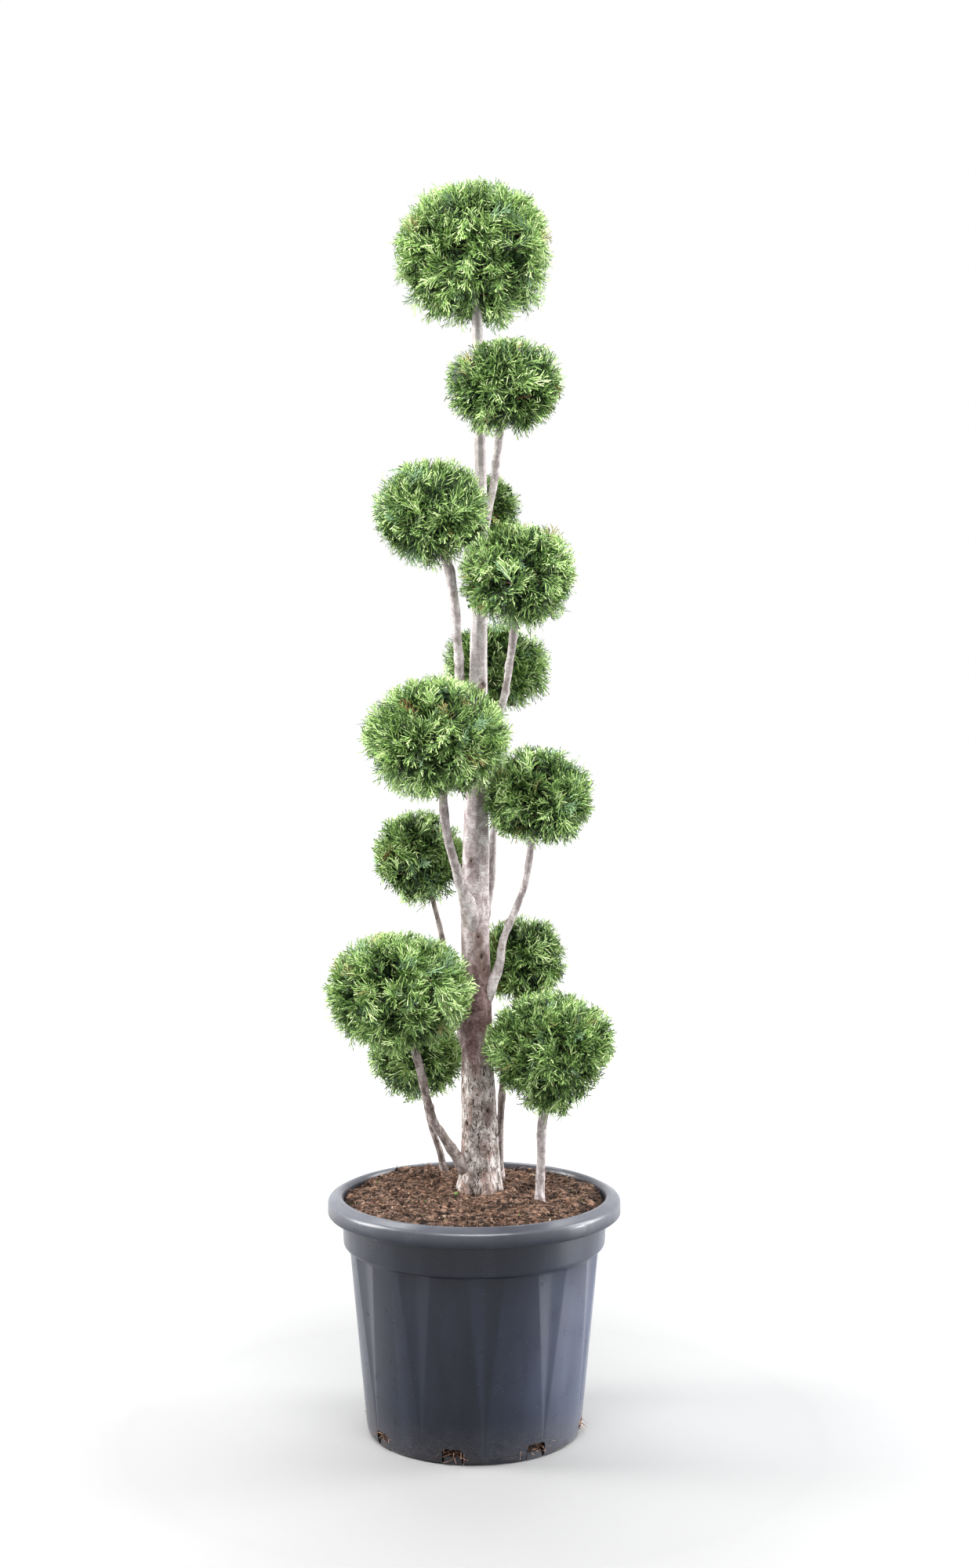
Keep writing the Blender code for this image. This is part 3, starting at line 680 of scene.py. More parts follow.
def pot_material():
    """Slate-coloured moulded plastic with a satin gloss, a painted sheen on the rim, dust, scuffs and a few
    specks.
    """
    plastic = Shader("pot", Specular_IOR_Level=0.40)
    cloud = plastic.noise(9, detail=5, roughness=0.6)
    streaks = plastic.noise(26, stretch=(1, 1, 0.12))
    scuffs = plastic.noise(70, detail=6, roughness=0.75, stretch=(1, 1, 2.2), distortion=1.6)
    specks = plastic.cells(85)
    base = plastic.ramp(cloud, (0.30, (0.003, 0.004, 0.010)), (0.70, (0.006, 0.009, 0.018)))
    base = plastic.over(base, (0.020, 0.025, 0.042), streaks, (0.45, 0.0), (0.75, 0.35))
    base = plastic.over(base, (0.110, 0.120, 0.145), scuffs, (0.66, 0.0), (0.76, 0.18))
    base = plastic.over(base, (0.280, 0.265, 0.240), specks, (0.022, 0.5), (0.045, 0.0))
    # Painted sheen: the rim's top is lightened to a pale blue-grey, standing in for its reflection
    rim = plastic.fade(plastic.height(), 0.317, 0.333, 0.0, 0.80)
    rim_sheen = plastic.maths("MULTIPLY", rim, plastic.ramp(cloud, (0.35, 0.55), (0.60, 1.0)))
    base = plastic.mix(rim_sheen, base, (0.085, 0.088, 0.104))
    foot = plastic.fade(plastic.height(), 0.0, 0.06, 0.30, 0.0)
    dust = plastic.maths("MULTIPLY", foot, plastic.ramp(scuffs, (0.35, 0.0), (0.65, 1.0)))
    base = plastic.mix(dust, base, (0.130, 0.115, 0.105))
    gloss = plastic.noise(34, detail=6, roughness=0.65)
    return plastic.finish(base, (gloss, 0.22, 0.36), (streaks, 0.0008, 0.20))


def soil_material():
    """Damp fibrous peat, reddish brown with dark clods."""
    peat = Shader("soil", Specular_IOR_Level=0.15)
    clods = peat.noise(92, detail=7, roughness=0.68)
    fibre = peat.noise(430, detail=5, roughness=0.75, distortion=1.2)
    base = peat.ramp(
        clods, (0.43, (0.008, 0.005, 0.004)), (0.51, (0.066, 0.039, 0.028)), (0.60, (0.240, 0.150, 0.108)),
    )
    base = peat.over(base, (0.270, 0.160, 0.098), fibre, (0.56, 0.0), (0.72, 0.7))
    # Painted shade: relief_shade darkens the peat in hollows, cracks, the gap by the wall and on its sides
    base = peat.shade(base, 1.0, peat.value_of("relief_shade"), (0.10, 0.22), (0.65, 1.0))
    return peat.finish(base, (fibre, 0.80, 1.0), (clods, 0.004, 0.6), (fibre, 0.0018, 0.8))


# Where the parts lie, by the same rules as the solids

def trunk_at(height):
    """The trunk's middle and radius at each height."""
    heights, right, back, radius = TRUNK_STATIONS.T
    height = np.asarray(height, dtype=float)
    middle = np.stack((np.interp(height, heights, right), np.interp(height, heights, back), height), -1)
    flare = ROOT_FLARE * np.exp(-(height - heights[0]) / ROOT_FLARE_HEIGHT)
    return middle, np.interp(height, heights, radius) + flare


def trunk_gap(points):
    """How far each point lies outside the plain trunk, on the level."""
    middle, radius = trunk_at(points[..., 2])
    return np.linalg.norm(points[..., :2] - middle[..., :2], axis=-1) - radius


def soil_height(x, y):
    away = np.hypot(x, y) / BAND_RADIUS
    heap = np.hypot(x - SOIL_HEAP_AT[0], y - SOIL_HEAP_AT[1])
    rough = SOIL_ROUGHNESS * (np.sin(61 * x + 1.3) * np.cos(47 * y) + np.sin(83 * (x + y)))
    return SOIL_EDGE_HEIGHT + SOIL_MOUND * (1 - away ** 2) + SOIL_HEAP * bell(heap, SOIL_HEAP_SPREAD) + rough


def ball_centre(ball):
    return np.array(BALLS[ball][0])


def ball_reach(ball, direction):
    """How far the ball's clipped outline lies from its centre in each direction."""
    _, half_width, above, below, top_square, foot_square = BALLS[ball]
    x, y, z = np.moveaxis(direction, -1, 0)
    height = np.where(z > 0, above, below)
    square = np.where(z > 0, top_square, foot_square)
    around = np.hypot(x, y) / half_width
    lumps = np.sin(5 * x + 2.1 * int(ball[-2:])) * np.sin(4 * y + 3 * z)
    return (1 + LUMPS * lumps) * (around ** square + (np.abs(z) / height) ** square) ** (-1 / square)


def outline_share(ball, points):
    """How far out each point lies, as a share of the ball's outline that way."""
    away = points - ball_centre(ball)
    distance = np.linalg.norm(away, axis=-1)
    return distance / ball_reach(ball, away / distance[..., None])


def ball_area(ball):
    _, half_width, above, below, _, _ = BALLS[ball]
    return 4 * math.pi * half_width * (above + below) / 2


def entry(ball, start):
    """Where a limb on its way from a point to the ball's centre meets the outline."""
    inward = unit(ball_centre(ball) - start)
    return ball_centre(ball) - BALL_ENTRY * ball_reach(ball, -inward) * inward


def ball_of(limb):
    return "ball_" + limb[-2:]


def is_stem(limb):
    return limb.startswith("stem")


def spline_through(points, step):
    """Places about one step apart on a smooth curve through the points, with each one's share of the way."""
    points = np.asarray(points)
    ends = np.concatenate((2 * points[:1] - points[1:2], points, 2 * points[-1:] - points[-2:-1]))
    places = []
    for before, start, end, after in zip(ends, ends[1:], ends[2:], ends[3:]):
        t = np.linspace(0, 1, max(1, round(np.linalg.norm(end - start) / step)), endpoint=False)[:, None]
        places.append(
            0.5 * (2 * start + (end - before) * t
                   + (2 * before - 5 * start + 4 * end - after) * t ** 2
                   + (3 * start - before - 3 * end + after) * t ** 3)
        )
    places = np.concatenate((*places, points[-1:]))
    walked = np.concatenate(([0.0], np.cumsum(np.linalg.norm(np.diff(places, axis=0), axis=1))))
    return places, walked / walked[-1]


def limb_route(name, step):
    """The limb's places and radii, from inside the trunk or the soil to the ball it carries."""
    start, foot_radius, tip_radius, bends = LIMBS[name]
    lead = np.array((*start, soil_height(*start) - FOOT_DEPTH)) if is_stem(name) else trunk_at(start)[0]
    tip = entry(ball_of(name), np.array(bends[-1]))
    places, shares = spline_through([lead, *bends, tip], step)
    slimmer = 1 - (STEM_WAIST if is_stem(name) else LIMB_WAIST) * np.sin(math.pi * shares)
    return places, slimmer * (foot_radius + (tip_radius - foot_radius) * shares ** 0.6)


def inner_route(ball, tip, step):
    """Places on a limb's way from its tip to the hub inside its ball, where the twigs part."""
    hub = ball_centre(ball) + INNER_RUN * (ball_centre(ball) - tip)
    return spline_through([tip, tip + 0.4 * (hub - tip), hub], step)[0]


def run_on(places, radii, ball, step):
    """The route carried on into the ball, tapering to where the twigs part."""
    inside = inner_route(ball, places[-1], step)[1:]
    taper = radii[-1] * np.linspace(1.0, INNER_TAPER, len(inside) + 1)[1:]
    return np.concatenate((places, inside)), np.concatenate((radii, taper))


def trunk_tip():
    """Where the trunk enters the top ball."""
    return trunk_at(entry("ball_01", trunk_at(TRUNK_STATIONS[-1][0])[0])[2])[0]


def trunk_route():
    """The trunk's places and radii, closer together on the rough bark at the foot."""
    foot = soil_height(*trunk_at(TRUNK_STATIONS[0][0])[0][:2]) - FOOT_DEPTH
    top = trunk_tip()[2]
    fine = np.arange(foot, ROUGH_TOP, FINE_RING)
    coarse = np.linspace(ROUGH_TOP, top, round((top - ROUGH_TOP) / COARSE_RING))
    heights = np.concatenate((fine, coarse))
    middle, radius = trunk_at(heights + np.linspace(-TRUNK_BLUR, TRUNK_BLUR, 9)[:, None])
    middle, radius = middle.mean(axis=0), radius.mean(axis=0)
    middle[:, 2] = heights
    return run_on(middle, radius, "ball_01", COARSE_RING)


# Trunk and limbs

def tube_rings(places, radii, sides):
    """Rings of points round a route, with their outward directions. The first side faces right."""
    tangents = unit(np.gradient(places, axis=0))
    across = np.empty_like(tangents)
    side = np.array((1.0, 0.0, 0.0))
    for i, tangent in enumerate(tangents):
        side = unit(side - tangent * side.dot(tangent))
        across[i] = side
    outward = ring_ways(across, np.cross(tangents, across), sides)
    return places[:, None] + radii[:, None, None] * outward, outward


def knot_relief(rings, places, radii, knots):
    """Raised rings of bark round small hollows, as a height, a darkening and a stain below each."""
    rise, dark, stain = np.zeros((3, *rings.shape[:2]))
    for height, turn, size, depth in knots:
        level = int(np.abs(places[:, 2] - height).argmin())
        turn = math.radians(turn)
        spot = places[level] + radii[level] * np.array((math.sin(turn), -math.cos(turn), 0.0))
        away = np.linalg.norm((rings - spot) * (1.0, 1.0, 0.75), axis=-1) / size
        below = np.linalg.norm((rings - spot + (0, 0, 0.7 * size)) * (1, 1, 0.6), axis=-1) / size
        rise += KNOT_RIM * bell(away - 0.85, 0.35) - depth * bell(away, 0.45)
        dark += bell(away, 0.52)
        stain += bell(below, 1.3)
    return rise, np.clip(dark, 0, 1), np.clip(stain, 0, 1)


def junction(route, limb_radii, heights):
    """A bough's turn round the trunk, and how far it swells the trunk, at each height."""
    middle, trunk_radius = trunk_at(route[:, 2])
    away = route[:, :2] - middle[:, :2]
    apart = np.linalg.norm(away, axis=1)
    turn = np.interp(heights, route[:, 2], np.unwrap(np.arctan2(away[:, 1], away[:, 0])))
    stands_out = np.clip(apart + limb_radii - trunk_radius, 0, 0.6 * limb_radii[0])
    stands_out *= 1 - smoothstep(trunk_radius, trunk_radius + limb_radii, apart)
    swell = np.interp(heights, route[:, 2], stands_out, left=0.0, right=0.0)
    spread = bell(heights[:, None] - heights[None], SWELL_RUN)
    return turn, (spread @ swell) / spread.sum(axis=1)


def in_crotch(bough, heights):
    """From 0 to 1 over the heights at which the bough parts from the trunk."""
    foot = LIMBS[bough][0]
    return smoothstep(foot + CROTCH_FROM, foot + CROTCH_TO, heights)[:, None]


def collar_relief(rings, heights, radii):
    """The trunk's swelling under its boughs, and a painted shade in each crotch where a bough meets it."""
    rise, crotch_shade = np.zeros((2, *rings.shape[:2]))
    sides = np.arange(TRUNK_SIDES) * math.tau / TRUNK_SIDES
    for name in LIMBS:
        if is_stem(name):
            continue
        route, limb_radii = limb_route(name, JUNCTION_STEP)
        turn, swell = junction(route, limb_radii, heights)
        beside = (sides[None] - turn[:, None] + math.pi) % math.tau - math.pi
        swelling = 0.8 * swell[:, None] * bell(beside * radii[:, None], 1.25 * limb_radii[0])
        rise = np.maximum(rise, swelling)
        gap = limb_gap(rings.reshape(-1, 3), [(route, limb_radii)]).clip(0).reshape(rings.shape[:2])
        # Painted shade: the trunk darkens close to the bough, in the crotch
        crotch_shade = np.maximum(crotch_shade, in_crotch(name, heights) * bell(gap, CROTCH_SHADE_RUN))
    return rise, crotch_shade


def plate_relief(rings):
    """Flaky bark, from about 1 on the plates to 0 in the long fissures between them."""
    warp = noise_field(rings, 0.014, 2)[..., None] * (0.004, 0.004, 0.012)
    fissures = smoothstep(0.0, 0.13, np.abs(noise_field(rings + warp, (0.0095, 0.0095, 0.036), 3)))
    open_parts = smoothstep(-0.05, 0.20, noise_field(rings, (0.020, 0.020, 0.030), 4))
    steps = noise_field(rings, (0.0050, 0.0050, 0.014), 5)
    return 0.80 - 0.62 * open_parts * (1 - fissures) + 0.30 * steps


def make_trunk(material):
    """The trunk's bark: plates at the foot, waves and folds above, with its knots, collars and painted shade
    in the crotches.
    """
    places, radii = trunk_route()
    rings, outward = tube_rings(places, radii, TRUNK_SIDES)
    height = places[:, 2][:, None]
    turn = np.arange(TRUNK_SIDES) * math.tau / TRUNK_SIDES
    rough = 1 - smoothstep(*ROUGH_FADE, height + 0.03 * noise_field(rings, 0.03, 1))
    bark = plate_relief(rings)
    waves = noise_field(rings, (0.022, 0.022, 0.050), 6)
    ripples = noise_field(rings, (0.016, 0.016, 0.010), 7)
    above_foot = height - places[0, 2]
    lobes = FOOT_LOBES * np.sin(5 * turn + 0.6 + 6 * above_foot) * np.exp(-above_foot / FOOT_LOBE_RUN)
    folds = FOLD_DEPTH * np.sin(7 * turn + 5 * height + 1.2)
    knots, dark, stain = knot_relief(rings, places, radii, TRUNK_KNOTS)
    slim = radii[:, None] / radii.max()
    collars, crotch_shade = collar_relief(rings, places[:, 2], radii)
    rise = PLATE_DEPTH * rough * (bark - 0.7) + slim * (WAVE_DEPTH * waves + folds) + RIPPLE_DEPTH * ripples
    rise += lobes + knots + collars
    rings = rings + rise[..., None] * outward
    # relief_shade, low in fissures, knots and crotches, for a darkening that is partly painted shade
    relief_shade = rough * np.clip(bark, 0, 1) + (1 - rough) * np.clip(0.78 + 0.35 * ripples, 0, 1)
    relief_shade = np.clip(relief_shade - np.maximum(dark, 0.75 * crotch_shade), 0, 1)
    piece = add_piece("trunk_bark", *capped_grid(rings), [material], "trunk_bark", ["trunk"])
    add_values(piece, "relief_shade", relief_shade, 0.7)
    add_values(piece, "stain", stain, 0.0)


def make_limb(name, material):
    """A bough's or stem's bark, a little crooked and lumpy, with nodes and a collar at its foot."""
    places, radii = run_on(*limb_route(name, LIMB_STEP), ball_of(name), LIMB_STEP)
    if is_stem(name):
        radii = radii * (1 + STEM_COLLAR * np.exp(-(places[:, 2] - places[0, 2]) / STEM_COLLAR_RUN))
    else:
        radii = radii * (1 + COLLAR * np.exp(-np.clip(trunk_gap(places), 0, None) / COLLAR_RUN))
    chance = np.random.default_rng(seed_of(name))
    seed = int(name[-2:])
    wander = np.stack([noise_field(places, 0.05, seed + shift) for shift in (0.1, 0.5, 0.0)], -1) * (1, 1, 0)
    count = len(places)
    from_end = np.minimum(np.arange(count), np.arange(count)[::-1])
    places = places + LIMB_WANDER * wander * smoothstep(0, 12, from_end)[:, None]
    rings, outward = tube_rings(places, radii, LIMB_SIDES)
    lumps = noise_field(rings, 0.016, seed + 0.3)
    ripples = noise_field(rings, (0.014, 0.014, 0.005), seed + 0.7)
    knots, dark, _ = knot_relief(rings, places, radii, LIMB_KNOTS.get(name, ()))
    nodes = np.zeros(count)
    for spot in chance.uniform(0.15, 0.92, LIMB_NODES):
        nodes += bell((np.linspace(0, 1, count) - spot) * count * LIMB_STEP, NODE_RUN)
    rise = radii[:, None] * (0.10 * lumps + 0.018 * ripples + 0.12 * nodes[:, None]) + knots
    rings = rings + rise[..., None] * outward
    # Painted shade: the bough darkens close to the trunk, in the crotch
    crotch_shade = 0.0 if is_stem(name) else in_crotch(name, places[:, 2]) * bell(trunk_gap(rings), CROTCH_SHADE_RUN)
    relief_shade = np.clip(0.8 + 0.4 * ripples - np.maximum(0.8 * dark, 0.7 * crotch_shade), 0, 1)
    piece = add_piece(name + "_bark", *capped_grid(rings), [material], "bough_bark", [name])
    add_values(piece, "relief_shade", relief_shade, 0.7)


# Foliage

def sphere_directions(count, chance):
    """Directions spread evenly in a golden spiral, each moved a little."""
    index = np.arange(count)
    height = np.clip(1 - 2 * (index + 0.5 + chance.uniform(-0.4, 0.4, count)) / count, -1, 1)
    turn = index * GOLDEN_TURN + chance.uniform(-0.2, 0.2, count)
    level = np.sqrt(1 - height ** 2)
    return np.stack((level * np.cos(turn), level * np.sin(turn), height), -1)


def spray_kind(chance):
    """Shoots of a forked spray of length 1 along +X: base, tip, share of the full width, and age."""
    rows = []
    bend = chance.uniform(-0.14, 0.14)
    sway = chance.uniform(-0.12, 0.12)

    def curved(place):
        return place + np.array((0.0, sway, bend)) * place[0] ** 2

    def shoot(start, turn, tilt, length, width, age):
        way = np.array((math.cos(turn) * math.cos(tilt), math.sin(turn) * math.cos(tilt), math.sin(tilt)))
        rows.append((curved(start), curved(start + length * way), width, age))
        return way

    for i in range(AXIS_PIECES):
        start = np.array((i / AXIS_PIECES - 0.02, 0.0, 0.0))
        shoot(start, 0.0, 0.0, 1 / AXIS_PIECES + 0.03, 1.0 - 0.15 * i / AXIS_PIECES, i)
    for i in range(SIDE_SHOOTS):
        along = 0.16 + 0.70 * i / (SIDE_SHOOTS - 1) + chance.uniform(-0.03, 0.03)
        side = 1 if i % 2 else -1
        turn = side * math.radians(chance.uniform(*SIDE_TURN))
        tilt = math.radians(chance.normal(0, SIDE_TILT))
        length = (0.34 * (1 - along) + 0.20) * chance.uniform(0.85, 1.15)
        start = np.array((along, 0.0, 0.0))
        way = shoot(start, turn, tilt, length, 0.95, 1)
        forks = 2 if length > 0.32 else 1
        for k in range(forks):
            share = (k + 1) / (forks + 1) + chance.uniform(-0.08, 0.08)
            fork_turn = turn + (side if k % 2 else -side) * math.radians(chance.uniform(*FORK_TURN))
            fork_tilt = tilt + math.radians(chance.normal(0, FORK_TILT))
            fork_length = length * chance.uniform(*FORK_LENGTH)
            shoot(start + share * length * way, fork_turn, fork_tilt, fork_length, 0.85, 2)
    base, tip, width, age = zip(*rows)
    return np.array(base), np.array(tip), np.array(width), np.array(age)


def spray_shoots(roots, axes, rolls, lengths, kinds, half_width, chance):
    """Every shoot of every spray in space, and the number of the spray that it is on."""
    helper = np.where(np.abs(axes[:, 2:3]) < 0.9, UP, FRONT)
    level = unit(np.cross(helper, axes))
    steep = np.cross(axes, level)
    sideways = np.cos(rolls)[:, None] * level + np.sin(rolls)[:, None] * steep
    frames = np.stack((axes, sideways, np.cross(axes, sideways)), axis=1)
    which = chance.integers(len(kinds), size=len(roots))
    rows = []
    for number, (base, tip, width, age) in enumerate(kinds):
        sprays = np.flatnonzero(which == number)
        scale = lengths[sprays, None, None]
        start = roots[sprays, None] + scale * np.einsum("kc,ncd->nkd", base, frames[sprays])
        end = roots[sprays, None] + scale * np.einsum("kc,ncd->nkd", tip, frames[sprays])
        facing = np.broadcast_to(frames[sprays, 2][:, None], start.shape)
        flat = unit(np.cross(end - start, facing))
        roll = chance.normal(0, SHOOT_ROLL, start.shape[:2])[..., None]
        side = (np.cos(roll) * flat + np.sin(roll) * facing) * (half_width * width)[None, :, None]
        ages = np.broadcast_to(age, start.shape[:2])
        owner = np.broadcast_to(sprays[:, None], start.shape[:2])
        rows.append([part.reshape(-1, *part.shape[2:]) for part in (start, end, side, ages, owner)])
    return [np.concatenate(parts) for parts in zip(*rows)]


def limb_gap(points, routes):
    """How far each point lies outside the nearest limb's skin, up to a few centimetres."""
    low, high = points.min(axis=0) - 0.03, points.max(axis=0) + 0.03
    gap = np.full(len(points), 0.03)
    for places, radii in routes:
        for start, end, radius in zip(places, places[1:], radii):
            if (np.maximum(start, end) < low).any() or (np.minimum(start, end) > high).any():
                continue
            run = end - start
            share = np.clip((points - start) @ run / run.dot(run), 0, 1)
            away = np.linalg.norm(points - start - share[:, None] * run, axis=1)
            gap = np.minimum(gap, away - radius)
    return gap


def clear_of_balls(points, ball):
    """True for each point that lies outside the outlines of the balls close to this one."""
    clear = np.ones(len(points), dtype=bool)
    for other in BALLS:
        apart = np.linalg.norm(ball_centre(other) - ball_centre(ball))
        if other != ball and apart < 1.3 * (BALLS[other][1] + BALLS[ball][1]):
            clear &= outline_share(other, points) > 1.0
    return clear


def in_parting(ball, points, chance):
    """True in front of the limb's last stretch, where it shows through the foliage."""
    half_width, height = PARTINGS[ball]
    centre = ball_centre(ball)
    foot = centre[2] - BALLS[ball][3]
    loose = chance.uniform(0.6, 1.4, len(points))
    above_foot = points[:, 2] - foot - 0.18 * (points[:, 1] - centre[1])
    aside = np.abs(points[:, 0] - centre[0] - 0.005)
    return (aside < half_width * loose) & (above_foot < height * loose) & (points[:, 1] < centre[1] + 0.01)


def tuft_ways(outward, seed):
    """A direction along the outline at each place that neighbours share, as they hang from one twig."""
    field = np.stack([noise_field(outward, TUFT_PATCH, seed + shift) for shift in (0.1, 0.4, 0.7)], -1)
    return field / np.abs(field).max()


def tuft_axes(outward, seed, chance):
    """Which way each tuft points: outward, leaning with its neighbours, up on top and down below."""
    count = len(outward)
    lean = np.clip(chance.normal(*TUFT_LEAN, count), 0.0, math.radians(65))[:, None]
    aside = tuft_ways(outward, seed) + TUFT_LOOSENESS * chance.normal(size=(count, 3))
    aside += 0.35 * UP * np.sign(outward[:, 2:3])
    aside = unit(aside - outward * np.sum(aside * outward, axis=1, keepdims=True))
    high, low = smoothstep(-0.2, 0.6, outward[:, 2:3]), smoothstep(0.2, 0.9, -outward[:, 2:3])
    return unit(outward * np.cos(lean) + aside * np.sin(lean) + (TUFT_LIFT * high - TUFT_DROOP * low) * UP)


def layer_tufts(ball, layer, chance):
    """Which way out each tuft of a layer lies, its axis, its root, and where it is clipped."""
    count = round(layer["density"] * ball_area(ball))
    seed = seed_of(ball)
    outward = sphere_directions(count, chance)
    pockets = noise_field(outward, POCKET_SIZE, seed)
    pockets += 0.6 * noise_field(outward, 2.2 * POCKET_SIZE, seed + 1)
    sunk = POCKET_DEPTH * np.clip(pockets - 0.16, 0, 0.6)
    axes = tuft_axes(outward, seed, chance)
    reach = ball_reach(ball, outward) * (chance.uniform(*layer["reach"], count) - sunk)
    roots = ball_centre(ball) + reach[:, None] * outward - layer["length"] * axes
    limits = layer["limit"] + chance.normal(0, OUTLINE_SPREAD, count) - 0.8 * sunk
    underside = TIGHT_UNDERSIDES.get(ball, UNDERSIDE)
    limits += layer["limit"] * underside * smoothstep(0.3, 0.95, -outward[:, 2])
    return outward, axes, roots, limits


def clip_shoots(ball, start, end, limit):
    """Each shoot's end at its limit, whether enough of it is left, and how far out its base lies."""
    base_share, tip_share = outline_share(ball, start), outline_share(ball, end)
    with np.errstate(divide="ignore", invalid="ignore"):
        cut = np.where(tip_share > limit, (limit - base_share) / (tip_share - base_share), 1.0)
    cut = np.clip(cut, 0, 1)
    end = start + cut[:, None] * (end - start)
    return end, (cut > SHORTEST_CUT) & (base_share < limit), np.minimum(base_share, 1.0)


def grow(ball, layer, kinds, routes, chance):
    """One layer's shoots, clipped to the ball and clear of the limbs and the other balls, and its tufts."""
    outward, axes, roots, limits = layer_tufts(ball, layer, chance)
    tuft = np.repeat(np.arange(len(roots)), SPRAYS_PER_TUFT)
    spray_axes = unit(axes[tuft] + TUFT_FAN * chance.normal(size=(len(tuft), 3)))
    lengths = chance.uniform(*SPRAY_LENGTH, len(tuft)) * layer["length"] / OUTER_LAYER["length"]
    rolls = chance.uniform(0, math.tau, len(tuft))
    start, end, side, age, spray = spray_shoots(
        roots[tuft], spray_axes, rolls, lengths, kinds, layer["half_width"], chance,
    )
    tuft = tuft[spray]
    limit = limits[tuft] + chance.normal(0, SHOOT_SPREAD, len(start))
    straggler = (chance.random(len(start)) < STRAGGLERS) & (outward[tuft, 2] < 0.75)
    limit += layer["limit"] * straggler * chance.uniform(0.2, 1.0, len(start)) * STRAGGLE
    end, kept, depth = clip_shoots(ball, start, end, limit)
    kept &= clear_of_balls(end, ball) & (limb_gap(end, routes) > LIMB_ROOM)
    kept &= limb_gap((start + end) / 2, routes) > LIMB_ROOM
    if ball in PARTINGS:
        kept &= ~in_parting(ball, end, chance)
    shoots = dict(start=start, end=end, side=side, age=age, spray=spray, tuft=tuft, depth=depth)
    return {name: part[kept] for name, part in shoots.items()}, outward, roots


def shoot_mesh(start, end, side):
    """Each shoot as a narrow strap of two triangles with a blunt end."""
    points = np.stack((start - 0.9 * side, start + 0.9 * side, end + 0.7 * side, end - 0.7 * side), axis=1)
    faces = np.array(((0, 1, 2), (0, 2, 3)))[None] + (4 * np.arange(len(start)))[:, None, None]
    return points.reshape(-1, 3), faces.reshape(-1, 3)


def leaf_tones(ball, shoots, outward, chance):
    """Which plain colour each triangle has: dealt out by tuft and spray, fresher towards tips, with painted
    light and shade.
    """
    count = len(outward)
    # Painted light: lighter on a ball's top, and on the back balls that the front ones shade
    tuft_tone = chance.normal(*TUFT_TONE, count) + TOP_LIGHT_TONE * outward[:, 2] + BACK_BALL_LIGHT.get(ball, 0.0)
    spray_tone = chance.normal(0, SPRAY_TONE, count * SPRAYS_PER_TUFT)
    tone = tuft_tone[shoots["tuft"]] + spray_tone[shoots["spray"]] + AGE_TONES[shoots["age"]]
    # Painted shade: darker with depth in the ball
    tone += chance.normal(0, SHOOT_TONE, len(tone)) + np.clip(12 * (shoots["depth"] - 0.89), *DEPTH_SHADE_TONES)
    tone = np.clip(np.round(tone), 0, len(LEAF_GREENS) - 1).astype(int)
    special = chance.random(count * SPRAYS_PER_TUFT)[shoots["spray"]]
    grown = shoots["age"] > 0
    for place, (_, _, _, (low, high)) in enumerate(ODD_LEAVES.values()):
        tone[grown & (special >= low) & (special < high)] = len(LEAF_GREENS) + place
    return np.repeat(tone, 2)


def make_foliage(ball, routes, tip, kinds, greens, twig_material):
    """A ball's outer sprays in fresh greens, broad dark ones inside as painted shade, and the twigs that
    carry them.
    """
    chance = np.random.default_rng(seed_of(ball))
    outer, outward, roots = grow(ball, OUTER_LAYER, kinds, routes, chance)
    tones = leaf_tones(ball, outer, outward, chance)
    inner, _, _ = grow(ball, INNER_SHADE_LAYER, kinds, routes, chance)
    # Painted shade: the inner sprays take the two darkest greens
    inner_shade_tones = np.repeat(chance.integers(0, 2, len(inner["start"])), 2)
    shoots = [np.concatenate((outer[part], inner[part])) for part in ("start", "end", "side")]
    slots = np.concatenate((tones, inner_shade_tones))
    add_piece("leaves_" + ball[-2:], *shoot_mesh(*shoots), greens, "foliage", [ball], slots)
    make_twigs(ball, roots[np.unique(outer["tuft"])], tip, twig_material, chance)


def nearest(points, places):
    """For each point, the closest of the places."""
    away = np.linalg.norm(points[:, None] - places[None], axis=2)
    return places[away.argmin(axis=1)]


def make_twigs(ball, roots, tip, material, chance):
    """Twigs that branch from the limb's end to the foot of every spray."""
    centre = ball_centre(ball)
    spine = inner_route(ball, tip, 0.008)
    ways = sphere_directions(MAIN_TWIGS, chance)
    main_ends = centre + (MAIN_REACH * ball_reach(ball, ways))[:, None] * ways
    main_feet = nearest(main_ends - 0.25 * (spine[-1] - tip), spine[len(spine) // 4:])
    main_middles = 0.5 * (main_ends + main_feet) + 0.004 * chance.normal(size=main_ends.shape)
    ways = sphere_directions(round(SIDE_TWIGS_PER_AREA * ball_area(ball)), chance)
    side_ends = centre + (SIDE_REACH * ball_reach(ball, ways))[:, None] * ways
    side_feet = nearest(side_ends, np.concatenate((main_ends, main_middles)))
    feet = nearest(roots, np.concatenate((side_ends, 0.5 * (side_feet + side_ends))))
    apart = np.linalg.norm(roots - feet, axis=1) > 0.0005
    points, faces = merged((
        prisms(main_feet, main_middles, *MAIN_RADII[:2], 5),
        prisms(main_middles, main_ends, *MAIN_RADII[1:], 5),
        prisms(side_feet, side_ends, *SIDE_RADII, 4),
        prisms(feet[apart], roots[apart], *END_RADII, 3),
    ))
    add_piece("twigs_" + ball[-2:], points, faces, [material], "bough_bark")


# Pot

